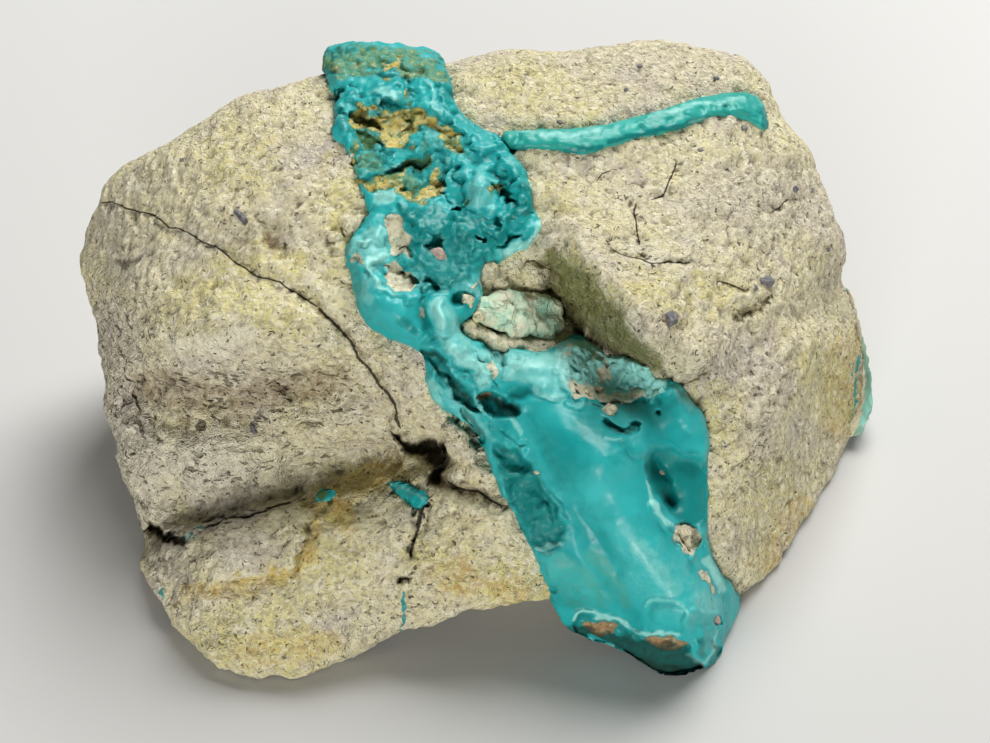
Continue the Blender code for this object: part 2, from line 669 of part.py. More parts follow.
def main_vein():
    """The broad vein: knobbly at the top, a smooth slab below, and out again at the back."""

    def depth(places):
        over_top = smoothstep(places[:, 1], *CAP_WRAP_PX)
        under_foot = smoothstep(places[:, 1], *FOOT_WRAP_PX)
        return (
            VEIN_DEPTH
            + (CAP_WRAP_DEPTH - VEIN_DEPTH) * over_top
            + (FOOT_WRAP_DEPTH - VEIN_DEPTH) * under_foot
        )

    outer, inner = crust_on(SHOW_FACE.nearness, 1, VEIN_OUTLINE_PX, vein_rise, depth, VEIN_RIM)

    def front(places):
        inward = follow_line(places, CAP_TOP_PX)[0] * PIXEL
        return outer(places) - CAP_ROUNDING * (1 - quarter_round(inward, CAP_ROUNDING))

    def back(places):
        return np.maximum(inner(places), rock_back(places) - BACK_RISE)

    vein = slab("turquoise_vein", VEIN_OUTLINE_PX, front, back, CRUST_VOXEL)
    behind = crust_on(
        rock_back, -1, BACK_VEIN_OUTLINE_PX,
        lambda places: BACK_RISE + knob_relief(places, BACK_VEIN_KNOBS),
        lambda places: BACK_DEPTH, VEIN_RIM,
    )
    back_part = slab("back_of_vein", BACK_VEIN_OUTLINE_PX, *behind, CRUST_VOXEL)
    fuse(vein, back_part)
    finish_crust(vein, CRUST_VOXEL, VEIN_TRIANGLES)
    cut_flat_on_table(vein)
    return vein


def edge_crust():
    """The coat of turquoise on the rock's right back edge."""
    surfaces = crust_on(
        rock_back, -1, EDGE_CRUST_OUTLINE_PX, lambda places: BACK_RISE, lambda places: BACK_DEPTH,
        VEIN_RIM,
    )
    piece = slab("edge_crust", EDGE_CRUST_OUTLINE_PX, *surfaces, CRUST_VOXEL)
    finish_crust(piece, CRUST_VOXEL, EDGE_CRUST_TRIANGLES)
    cut_flat_on_table(piece)
    return piece


def clearance_cutter(piece):
    """A copy of a piece, grown by the gap that it keeps to the rock."""
    cutter = bpy.data.objects.new(f"{piece.name}_bed", piece.data.copy())
    bpy.data.collections["Cutters"].objects.link(cutter)
    modifier = cutter.modifiers.new("Gap", "DISPLACE")
    modifier.strength = VEIN_GAP
    modifier.mid_level = 0
    cutter.hide_render = True
    cutter.display_type = "WIRE"
    return cutter


def bed(rock, piece):
    """Cuts the piece's bed in the rock."""
    modifier = rock.modifiers.new(f"Bed of {piece.name}", "BOOLEAN")
    modifier.operation = "DIFFERENCE"
    modifier.solver = "EXACT"
    modifier.object = clearance_cutter(piece)


def material(name, colour, roughness):
    """A plain stone finish."""
    made = bpy.data.materials.new(name)
    made.use_nodes = True
    shader = made.node_tree.nodes["Principled BSDF"]
    shader.inputs["Base Color"].default_value = (*colour, 1)
    shader.inputs["Roughness"].default_value = roughness
    shader.inputs["Metallic"].default_value = 0
    return made


def centre_on_table(things):
    """Moves everything so that the middle of the nugget's footprint is the origin."""
    corners = np.vstack([mesh_coordinates(thing.data) for thing in things])
    low, high = corners.min(axis=0), corners.max(axis=0)
    shift = np.array([(low[0] + high[0]) / 2, (low[1] + high[1]) / 2, low[2]])
    for thing in things:
        set_coordinates(thing.data, mesh_coordinates(thing.data) - shift)


def build():
    """Builds the nugget."""
    for thing in list(bpy.data.objects):
        bpy.data.objects.remove(thing)
    pieces = bpy.data.collections.new("Turquoise nugget")
    cutters = bpy.data.collections.new("Cutters")
    for collection in (pieces, cutters):
        bpy.context.scene.collection.children.link(collection)
    layers = bpy.context.view_layer.layer_collection.children
    bpy.context.view_layer.active_layer_collection = layers[pieces.name]

    rock = host_rock()
    vein = main_vein()
    crust = edge_crust()
    for piece in (vein, crust):
        piece.data.materials.append(material(piece.name, TURQUOISE_COLOUR, WAX_ROUGHNESS))
    small_pieces = [small_piece(inlay) for inlay in INLAYS]
    for piece, inlay in zip(small_pieces, INLAYS):
        piece.data.materials.append(material(piece.name, inlay.colour, inlay.roughness))
    let_in = [vein, crust, *small_pieces]
    centre_on_table([rock, *let_in])
    rock.data.materials.append(material(rock.name, HOST_ROCK_COLOUR, STONE_ROUGHNESS))
    for piece in let_in:
        bed(rock, piece)


build()
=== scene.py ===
"""Looks of a raw turquoise nugget: pale, gritty host rock crossed by a waxy vein of turquoise.

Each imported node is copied, evened out and modelled with strokes. A stroke is laid on the show face,
so its path is given in pixels of a picture of that face, and its height in millimetres.
"""

import logging
import math
from dataclasses import dataclass, field
from enum import Enum

import bpy
import numpy as np
from mathutils import Euler, Matrix, Vector, noise
from mathutils.bvhtree import BVHTree


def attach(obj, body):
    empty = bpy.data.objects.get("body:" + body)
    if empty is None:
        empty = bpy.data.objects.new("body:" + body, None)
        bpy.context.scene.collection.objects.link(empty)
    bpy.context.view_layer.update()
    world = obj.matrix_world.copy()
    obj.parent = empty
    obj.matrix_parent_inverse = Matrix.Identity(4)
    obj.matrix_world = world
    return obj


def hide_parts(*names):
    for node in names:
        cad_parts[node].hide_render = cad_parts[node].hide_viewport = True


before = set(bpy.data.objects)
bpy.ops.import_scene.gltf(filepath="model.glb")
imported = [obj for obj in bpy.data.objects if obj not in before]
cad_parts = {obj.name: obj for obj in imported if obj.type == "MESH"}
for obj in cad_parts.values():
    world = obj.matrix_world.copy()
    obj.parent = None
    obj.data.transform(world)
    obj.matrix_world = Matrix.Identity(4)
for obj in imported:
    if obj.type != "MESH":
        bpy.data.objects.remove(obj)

logging.basicConfig(level=logging.INFO, format="%(message)s")
LOG = logging.getLogger("nugget")

MM = 0.001
ROOT = "root"
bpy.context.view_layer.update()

# A stroke wanders by clouds of these sizes in metres, each with its reach in pixels.
WANDERS = ((0.0045, 7.0), (0.0018, 8.0), (0.0008, 5.0))
WANDER_SEED = 8
WANDER_START = 11.3

# Clouds: how soon finer layers fade, how much finer each one is, and how many there are.
CLOUD_LAYERS = (0.8, 2.0, 3)
MEAN_LUMP = 0.55

# Shares of a stroke's or a dab's radius, and the power by which a crest falls off.
PIT_FLOOR = 0.5
DAB_CORE = 0.25
CREST_POWER = 1.5

CURVE_STEPS = 3
MERGE_REACH = 0.000002
FLOOR_GAP = 0.00015

Path = list[tuple[float, float]]
Point = tuple[float, float, float]
Colour = tuple[float, float, float]
Crack = tuple[float, Path]
Share = np.ndarray | float


class Profile(Enum):
    """The cross section that a stroke leaves."""

    DOME = "dome"
    CREST = "crest"
    PIT = "pit"
    AREA = "area"


@dataclass(frozen=True)
class Stroke:
    """One stroke of the modelling tool.

    The path and the radius are in pixels, and the height in mm, below zero for a hollow.
    """

    profile: Profile
    radius: float
    height: float
    path: Path


@dataclass(frozen=True)
class Daub:
    """One dab of colour along a path, or over the area that the path goes round.

    The radius is that of the brush, or the softness of the area's edge, in pixels.
    """

    strength: float
    radius: float
    path: Path
    filled: bool = False


Colours = dict[str, list[Daub]]


def domes(*rows: tuple) -> list[Stroke]:
    """Makes rounded strokes from rows of (radius, height, path)."""
    return [Stroke(Profile.DOME, radius, height, path) for radius, height, path in rows]


def crests(*rows: tuple) -> list[Stroke]:
    """Makes sharp strokes from rows of (radius, height, path)."""
    return [Stroke(Profile.CREST, radius, height, path) for radius, height, path in rows]


def pits(*rows: tuple) -> list[Stroke]:
    """Makes steep-walled strokes from rows of (radius, height, path)."""
    return [Stroke(Profile.PIT, radius, height, path) for radius, height, path in rows]


def areas(*rows: tuple) -> list[Stroke]:
    """Raises or sinks whole areas, from rows of (width of the edge, height, outline)."""
    return [Stroke(Profile.AREA, radius, height, path) for radius, height, path in rows]


def daubs(*rows: tuple) -> list[Daub]:
    """Makes dabs of colour from rows of (strength, radius, path)."""
    return [Daub(strength, radius, path) for strength, radius, path in rows]


def patches(*rows: tuple) -> list[Daub]:
    """Makes coloured areas from rows of (strength, softness of the edge, outline)."""
    return [Daub(strength, radius, path, filled=True) for strength, radius, path in rows]


def ease(value: np.ndarray, low: float, high: float) -> np.ndarray:
    """Rises smoothly from 0 at low to 1 at high. Low may be above high.

    Args:
        value: The numbers to ease.
        low: Where the result is 0.
        high: Where the result is 1.

    Returns:
        The eased numbers.
    """
    share = np.clip((value - low) / (high - low), 0, 1)
    return share * share * (3 - 2 * share)


@dataclass(frozen=True)
class Picture:
    """The frame through which the show face is seen, laid over the CAD's own frame."""

    width: int = 990
    height: int = 743
    pixel: float = 0.067 / 788
    elevation: float = math.radians(40)
    distance: float = 0.235
    pivot: Point = (0.001134, -0.002203, 0.0143)
    sensor_mm: float = 36.0

    @property
    def axes(self) -> np.ndarray:
        """The directions right, up and toward the viewer, as rows."""
        rise, run = math.sin(self.elevation), math.cos(self.elevation)
        return np.array([[1.0, 0.0, 0.0], [0.0, rise, run], [0.0, -run, rise]])

    def project(self, points: np.ndarray) -> np.ndarray:
        """Finds where points are seen.

        Args:
            points: Rows of x, y and z in metres.

        Returns:
            Rows of x px, y px and metres nearer the viewer than the pivot.
        """
        local = (points - np.array(self.pivot)) @ self.axes.T
        spread = self.distance / (self.distance - local[:, 2]) / self.pixel
        across = self.width / 2 + local[:, 0] * spread
        down = self.height / 2 - local[:, 1] * spread
        return np.stack([across, down, local[:, 2]], axis=1)

    def unproject(self, seen: np.ndarray) -> np.ndarray:
        """Finds the points that are seen at places.

        Args:
            seen: Rows as project gives them.

        Returns:
            Rows of x, y and z in metres.
        """
        spread = (self.distance - seen[:, 2]) / self.distance * self.pixel
        local = np.stack(
            [
                (seen[:, 0] - self.width / 2) * spread,
                (self.height / 2 - seen[:, 1]) * spread,
                seen[:, 2],
            ],
            axis=1,
        )
        return local @ self.axes + np.array(self.pivot)

    def eye(self) -> np.ndarray:
        """Gives the place of the viewer's eye."""
        return np.array(self.pivot) + self.axes[2] * self.distance

    def make_camera(self) -> bpy.types.Object:
        """Adds the camera that sees this picture.

        Returns:
            The camera, which is also the scene's.
        """
        bpy.ops.object.camera_add()
        camera = bpy.context.object
        camera.name = "Show_camera"
        frame_width = self.width * self.pixel
        camera.data.sensor_width = self.sensor_mm
        camera.data.lens = self.sensor_mm * self.distance / frame_width
        camera.data.clip_start = 0.01
        camera.data.clip_end = 10
        turn = Matrix([list(row) for row in self.axes]).transposed()
        camera.matrix_world = Matrix.Translation(Vector(self.eye())) @ turn.to_4x4()
        bpy.context.scene.camera = camera
        return camera


PICTURE = Picture()


def path_distance(places: np.ndarray, path: Path) -> tuple[np.ndarray, np.ndarray, np.ndarray]:
    """Measures places against a path.

    Args:
        places: Rows of x px and y px.
        path: The path's corners, or a single point.

    Returns:
        The distance, the side (above zero on the right hand) and the share of the path passed.
    """
    corners = np.array(path, float)
    if len(corners) == 1:
        gap = np.linalg.norm(places - corners[0], axis=1)
        return gap, np.ones(len(places)), np.full(len(places), 0.5)
    lengths = np.linalg.norm(np.diff(corners, axis=0), axis=1)
    nearest = np.full(len(places), np.inf)
    side = np.zeros(len(places))
    along = np.zeros(len(places))
    passed = 0.0
    for start, end, length in zip(corners[:-1], corners[1:], lengths):
        run = end - start
        offset = places - start
        share = np.clip(offset @ run / length**2, 0, 1)
        gap = np.linalg.norm(offset - share[:, None] * run, axis=1)
        closer = gap < nearest
        nearest = np.where(closer, gap, nearest)
        side = np.where(closer, np.sign(run[0] * offset[:, 1] - run[1] * offset[:, 0]), side)
        along = np.where(closer, (passed + share * length) / lengths.sum(), along)
        passed += length
    return nearest, side, along


def rounded(path: Path, closed: bool = False) -> Path:
    """Rounds a path's corners off.

    Args:
        path: The corners.
        closed: Whether the path goes round an area.

    Returns:
        A path that passes through the same corners.
    """
    if len(path) < 3:
        return path
    corners = np.array(path, float)
    if closed:
        corners = np.vstack([corners[-1:], corners, corners[:2]])
    else:
        corners = np.vstack([2 * corners[0] - corners[1], corners, 2 * corners[-1] - corners[-2]])
    before, start, end, after = corners[:-3], corners[1:-2], corners[2:-1], corners[3:]
    points = []
    for share in np.arange(CURVE_STEPS) / CURVE_STEPS:
        points.append(
            start
            + 0.5 * (end - before) * share
            + (before - 2.5 * start + 2 * end - 0.5 * after) * share**2
            + 0.5 * (3 * start - before - 3 * end + after) * share**3
        )
    curve = np.stack(points, axis=1).reshape(-1, 2)
    return curve.tolist() if closed else [*curve.tolist(), tuple(corners[-2])]


def depth_inside(places: np.ndarray, outline: Path) -> np.ndarray:
    """Measures how far places are within a closed outline, below zero outside it.

    Args:
        places: Rows of x px and y px.
        outline: The outline's corners.

    Returns:
        The distance to the outline.
    """
    closed = [*outline, outline[0]]
    gap = path_distance(places, closed)[0]
    within = np.zeros(len(places), bool)
    for (x0, y0), (x1, y1) in zip(closed[:-1], closed[1:]):
        if y0 == y1:
            continue
        crossed = (places[:, 1] < y0) != (places[:, 1] < y1)
        within ^= crossed & (places[:, 0] < x0 + (places[:, 1] - y0) * (x1 - x0) / (y1 - y0))
    return np.where(within, gap, -gap)


def within_reach(places: np.ndarray, path: Path, radius: float) -> np.ndarray:
    """Finds which places lie in the box round a path, widened by the radius."""
    corners = np.array(path, float)
    low = corners.min(axis=0) - radius
    high = corners.max(axis=0) + radius
    return np.flatnonzero(((places > low) & (places < high)).all(axis=1))


def area_share(places: np.ndarray, outline: Path, edge: float) -> np.ndarray:
    """Rises from 0 outside an outline to 1 inside it, over the width of its edge."""
    return ease(depth_inside(places, rounded(outline, closed=True)), -edge / 2, edge / 2)


def stroke_height(places: np.ndarray, strokes: list[Stroke]) -> np.ndarray:
    """Adds up the strokes' heights at places.

    Args:
        places: Rows of x px and y px.
        strokes: The strokes.

    Returns:
        The height of each place in metres.
    """
    total = np.zeros(len(places))
    for stroke in strokes:
        near = within_reach(places, stroke.path, stroke.radius)
        if not len(near):
            continue
        if stroke.profile is Profile.AREA:
            total[near] += stroke.height * MM * area_share(places[near], stroke.path, stroke.radius)
            continue
        share = np.clip(path_distance(places[near], rounded(stroke.path))[0] / stroke.radius, 0, 1)
        if stroke.profile is Profile.DOME:
            section = (1 - share**2) ** 2
        elif stroke.profile is Profile.CREST:
            section = (1 - share) ** CREST_POWER
        else:
            section = ease(share, 1, PIT_FLOOR)
        total[near] += stroke.height * MM * section
    return total


def daub_strength(places: np.ndarray, marks: list[Daub]) -> np.ndarray:
    """Finds how strongly places are coloured.

    Args:
        places: Rows of x px and y px.
        marks: The dabs of one colour.

    Returns:
        The strongest dab at each place, from 0 to 1.
    """
    total = np.zeros(len(places))
    for mark in marks:
        near = within_reach(places, mark.path, mark.radius)
        if not len(near):
            continue
        if mark.filled:
            strength = area_share(places[near], mark.path, mark.radius)
        else:
            gap = path_distance(places[near], rounded(mark.path))[0]
            strength = ease(gap / mark.radius, 1, DAB_CORE)
        total[near] = np.maximum(total[near], mark.strength * strength)
    return total


def read_rows(elements: bpy.types.bpy_prop_collection, quality: str) -> np.ndarray:
    """Reads a vector of each of a mesh's elements as rows."""
    flat = np.empty(len(elements) * 3, np.float32)
    elements.foreach_get(quality, flat)
    return flat.reshape(-1, 3).astype(float)


def toward_viewer(places: np.ndarray, normals: np.ndarray) -> np.ndarray:
    """Finds how far the normals at places face the viewer, from -1 to 1."""
    sight = PICTURE.eye() - places
    sight /= np.linalg.norm(sight, axis=1)[:, None]
    return (sight * normals).sum(axis=1)


def select_only(piece: bpy.types.Object) -> None:
    """Makes a piece the only selected and the active one."""
    bpy.ops.object.select_all(action="DESELECT")
    piece.select_set(True)
    bpy.context.view_layer.objects.active = piece


class Clay:
    """A piece's mesh while it is being modelled.

    Relief, colour and cracks each fade in over a range of how far a face is turned to the viewer.
    The distance from a crack is in pixels. The pulls are shares of the reach of close_on: the gap up
    to which a point is drawn in fully, and the longest way that it is moved.
    """

    RELIEF_FADE = (-0.05, 0.3)
    COLOUR_FADE = (-0.15, 0.1)
    CRACK_FADE = (-0.1, 0.1)
    CRACK_TAPER = 0.03
    CRACK_WANDER = 0.22
    FAR_FROM_CRACK = 40.0
    FRONT_FACES = (0.25, 0.95)
    FULL_PULL = 0.4
    LONGEST_PULL = 0.7

    def __init__(self, piece: bpy.types.Object) -> None:
        """Takes up a piece."""
        self.piece = piece
        self.shift = np.zeros((len(piece.data.vertices), 2))

    @classmethod
    def from_node(cls, name: str, node: str) -> "Clay":
        """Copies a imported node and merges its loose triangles.

        Args:
            name: The new piece's name.
            node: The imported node's name.

        Returns:
            The copy, ready to be modelled.
        """
        piece = bpy.data.objects.new(name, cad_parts[node].data.copy())
        bpy.context.scene.collection.objects.link(piece)
        select_only(piece)
        piece.data.name = name
        bpy.ops.object.mode_set(mode="EDIT")
        bpy.ops.mesh.select_all(action="SELECT")
        bpy.ops.mesh.remove_doubles(threshold=MERGE_REACH)
        bpy.ops.object.mode_set(mode="OBJECT")
        return cls(piece)

    @property
    def points(self) -> np.ndarray:
        """The points as rows."""
        return read_rows(self.piece.data.vertices, "co")

    @points.setter
    def points(self, rows: np.ndarray) -> None:
        """Moves the points."""
        self.piece.data.vertices.foreach_set("co", rows.astype(np.float32).ravel())
        self.piece.data.update()

    @property
    def normals(self) -> np.ndarray:
        """The points' normals as rows."""
        return read_rows(self.piece.data.vertex_normals, "vector")

    def facing(self) -> np.ndarray:
        """Finds how far each point faces the viewer, from -1 to 1."""
        return toward_viewer(self.points, self.normals)

    def wobble(self, share: Share = 1.0) -> None:
        """Lets every later stroke and dab wander a little, so that none has a ruled edge.

        Args:
            share: How much of the wandering each point gets.
        """
        noise.seed_set(WANDER_SEED)
        points = self.points
        shift = np.zeros((len(points), 2))
        for grain, reach in WANDERS:
            scaled = points / grain + WANDER_START
            drift = [noise.noise_vector(Vector(row)) for row in scaled.tolist()]
            shift += reach * np.array(drift)[:, :2]
        self.shift = shift * np.broadcast_to(share, len(points))[:, None]

    def places(self) -> np.ndarray:
        """Gives each point's place for a stroke or a dab."""
        return PICTURE.project(self.points)[:, :2] + self.shift

    def apply(self, kind: str, **settings: object) -> None:
        """Adds a modifier and applies it.

        Args:
            kind: The modifier's type.
            settings: Its settings by name.
        """
        select_only(self.piece)
        modifier = self.piece.modifiers.new(kind, kind)
        for setting, value in settings.items():
            setattr(modifier, setting, value)
        bpy.ops.object.modifier_apply(modifier=modifier.name)

    def even_out(self, cell: float, rounds: int) -> None:
        """Gives the mesh even cells and rounds off its facets.

        Args:
            cell: The size of a cell in metres.
            rounds: How often the points are smoothed.
        """
        self.apply("REMESH", mode="VOXEL", voxel_size=cell)
        self.soften(rounds)

    def soften(self, rounds: int) -> None:
        """Smooths the points."""
        self.apply("SMOOTH", factor=0.5, iterations=rounds)

    def split_seen(self, least: float) -> None:
        """Halves the cells that face the viewer.

        Args:
            least: How far a face has to face the viewer.
        """
        faces = self.piece.data.polygons
        chosen = toward_viewer(read_rows(faces, "center"), read_rows(faces, "normal")) > least
        select_only(self.piece)
        bpy.ops.object.mode_set(mode="EDIT")
        bpy.ops.mesh.select_mode(type="FACE")
        bpy.ops.mesh.select_all(action="DESELECT")
        bpy.ops.object.mode_set(mode="OBJECT")
        self.piece.data.polygons.foreach_set("select", chosen)
        bpy.ops.object.mode_set(mode="EDIT")
        bpy.ops.mesh.subdivide(number_cuts=1)
        bpy.ops.object.mode_set(mode="OBJECT")

    def swell(self, push: float, grain: float, seed: float) -> None:
        """Pushes the sides out unevenly and leaves the faces where they are.

        Args:
            push: The largest push in metres.
            grain: The size of the unevenness in metres.
            seed: Shifts the unevenness.
        """
        points, normals = self.points, self.normals
        sideways = 1 - ease(np.abs(self.facing()), *self.FRONT_FACES)
        uneven = 0.5 + 0.5 * ease(cloud(points, grain, seed), -0.3, 0.45)
        self.points = points + normals * (push * sideways * uneven)[:, None]

    def close_on(self, covers: list[bpy.types.Object], reach: float, overlap: float) -> None:
        """Draws the nearby points onto the inlays, so that no gap is left round them.

        Args:
            covers: The inlays.
            reach: How far away a point may be, in metres.
            overlap: How deep the nearest points go in, in metres.
        """
        graph = bpy.context.evaluated_depsgraph_get()
        trees = [BVHTree.FromObject(piece, graph) for piece in covers]
        rows = self.points
        for index, row in enumerate(rows.tolist()):
            point = Vector(row)
            found = [tree.find_nearest(point, reach) for tree in trees]
            met = [(hit[3], hit[0], hit[1]) for hit in found if hit[0] is not None]
            if not met:
                continue
            gap, nearest, normal = min(met, key=lambda hit: hit[0])
            inside = (point - nearest).dot(normal) <= 0
            if inside:
                continue
            fall = float(ease(np.array(gap), reach, reach * self.FULL_PULL))
            move = min(gap + overlap, self.LONGEST_PULL * reach * fall)
            rows[index] = point + (nearest - point).normalized() * move
        self.points = rows

    def model(self, strokes: list[Stroke]) -> None:
        """Moves the seen points along their sight lines.

        Args:
            strokes: The strokes.
        """
        seen = PICTURE.project(self.points)
        weight = ease(self.facing(), *self.RELIEF_FADE)
        seen[:, 2] += stroke_height(seen[:, :2] + self.shift, strokes) * weight
        self.points = PICTURE.unproject(seen)

    def roughen(
        self, grain: float, height: float, seed: float, share: Share = 1.0,
        stretch: Point = (1.0, 1.0, 1.0),
    ) -> None:
        """Adds cloudy relief.

        Args:
            grain: The size of the relief in metres.
            height: Its height in metres.
            seed: Shifts the relief.
            share: How much of it each point gets.
            stretch: How much finer it is along each axis.
        """
        points, normals = self.points, self.normals
        lift = cloud(points * np.array(stretch), grain, seed) * height * share
        self.points = points + normals * lift[:, None]

    def knob(self, grain: float, height: float, seed: float, share: Share = 1.0) -> None:
        """Adds round grape-like lumps.

        Args:
            grain: The size of a lump in metres.
            height: Its height in metres.
            seed: Shifts the lumps.
            share: How much of them each point gets.
        """
        points, normals = self.points, self.normals
        lift = (MEAN_LUMP - lumps(points, grain, seed)) * height * share
        self.points = points + normals * lift[:, None]

    def paint(self, channels: Colours) -> None:
        """Keeps each colour's strength on the points, for the finish to read.

        Args:
            channels: The dabs of each colour.
        """
        places = self.places()
        front = ease(self.facing(), *self.COLOUR_FADE)
        for name, marks in channels.items():
            self.keep(name, daub_strength(places, marks) * front)

    def keep(self, name: str, values: np.ndarray) -> None:
        """Keeps a value on each point under a name."""
        made = self.piece.data.attributes.new(name, "FLOAT", "POINT")
        made.data.foreach_set("value", values.astype(np.float32))

    def keep_edges(self, rounds: int, depth: float) -> None:
        """Keeps how far each point stands out: 0.5 where it is level, more on an edge.

        Args:
            rounds: How far the surroundings reach, as rounds of smoothing.
            depth: The height in metres that counts as a full edge.
        """
        points, normals = self.points, self.normals
        self.soften(rounds)
        height = ((points - self.points) * normals).sum(axis=1)
        self.points = points
        self.keep("edge", np.clip(0.5 + height / depth / 2, 0, 1))

    def keep_cracks(self, cracks: list[Crack]) -> None:
        """Keeps how far each point is from the nearest crack's line, and that crack's half width.

        Args:
            cracks: Each crack's half width in pixels and its path.
        """
        places = PICTURE.project(self.points)[:, :2] + self.shift * self.CRACK_WANDER
        off_line = np.full(len(places), self.FAR_FROM_CRACK)
        width = np.zeros(len(places))
        for half, path in cracks:
            gap, side, along = path_distance(places, path)
            nearer = gap < np.abs(off_line)
            off_line = np.where(nearer, gap * side, off_line)
            taper = ease(along, 0, self.CRACK_TAPER) * ease(along, 1, 1 - self.CRACK_TAPER)
            width = np.where(nearer, half * taper, width)
        self.keep("crack_side", off_line)
        self.keep("crack_width", width * ease(self.facing(), *self.CRACK_FADE))

    def finish(self, material: bpy.types.Material, slot: str, *nodes: str) -> bpy.types.Object:
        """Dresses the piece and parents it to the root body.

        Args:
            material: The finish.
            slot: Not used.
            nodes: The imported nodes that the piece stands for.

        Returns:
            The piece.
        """
        piece = self.piece
        points = self.points
        points[:, 2] = np.maximum(points[:, 2], FLOOR_GAP)
        self.points = points
        piece.data.shade_smooth()
        piece.data.materials.clear()
        piece.data.materials.append(material)
        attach(piece, ROOT)
        if nodes:
            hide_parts(*nodes)
        LOG.info("%s: %d faces", piece.name, len(piece.data.polygons))
        return piece


def cloud(points: np.ndarray, grain: float, seed: float) -> np.ndarray:
    """Cloudy noise from about -1 to 1, with features of the given size."""
    scaled = points / grain + seed
    return np.array([noise.fractal(Vector(row), *CLOUD_LAYERS) for row in scaled.tolist()])


def lumps(points: np.ndarray, grain: float, seed: float) -> np.ndarray:
    """Distance to the nearest of scattered centres, in units of the grain."""
    scaled = points / grain + seed
    return np.array([noise.voronoi(Vector(row))[0][0] for row in scaled.tolist()])


class Value:
    """A number in a finish's node tree, which takes part in arithmetic."""

    def __init__(self, finish: "Finish", socket: bpy.types.NodeSocket) -> None:
        """Wraps a socket of a finish."""
        self.finish = finish
        self.socket = socket

    def __add__(self, other: "Number") -> "Value":
        """Adds."""
        return self.finish.math("ADD", self, other)

    def __radd__(self, other: "Number") -> "Value":
        """Adds, from the right."""
        return self.finish.math("ADD", other, self)

    def __sub__(self, other: "Number") -> "Value":
        """Subtracts."""
        return self.finish.math("SUBTRACT", self, other)

    def __rsub__(self, other: "Number") -> "Value":
        """Subtracts, from the right."""
        return self.finish.math("SUBTRACT", other, self)

    def __mul__(self, other: "Number") -> "Value":
        """Multiplies."""
        return self.finish.math("MULTIPLY", self, other)

    def __rmul__(self, other: "Number") -> "Value":
        """Multiplies, from the right."""
        return self.finish.math("MULTIPLY", other, self)

    def __truediv__(self, other: "Number") -> "Value":
        """Divides."""
        return self.finish.math("DIVIDE", self, other)

    def __abs__(self) -> "Value":
        """Drops the sign."""
        return self.finish.math("ABSOLUTE", self, 0.0)


Number = Value | float


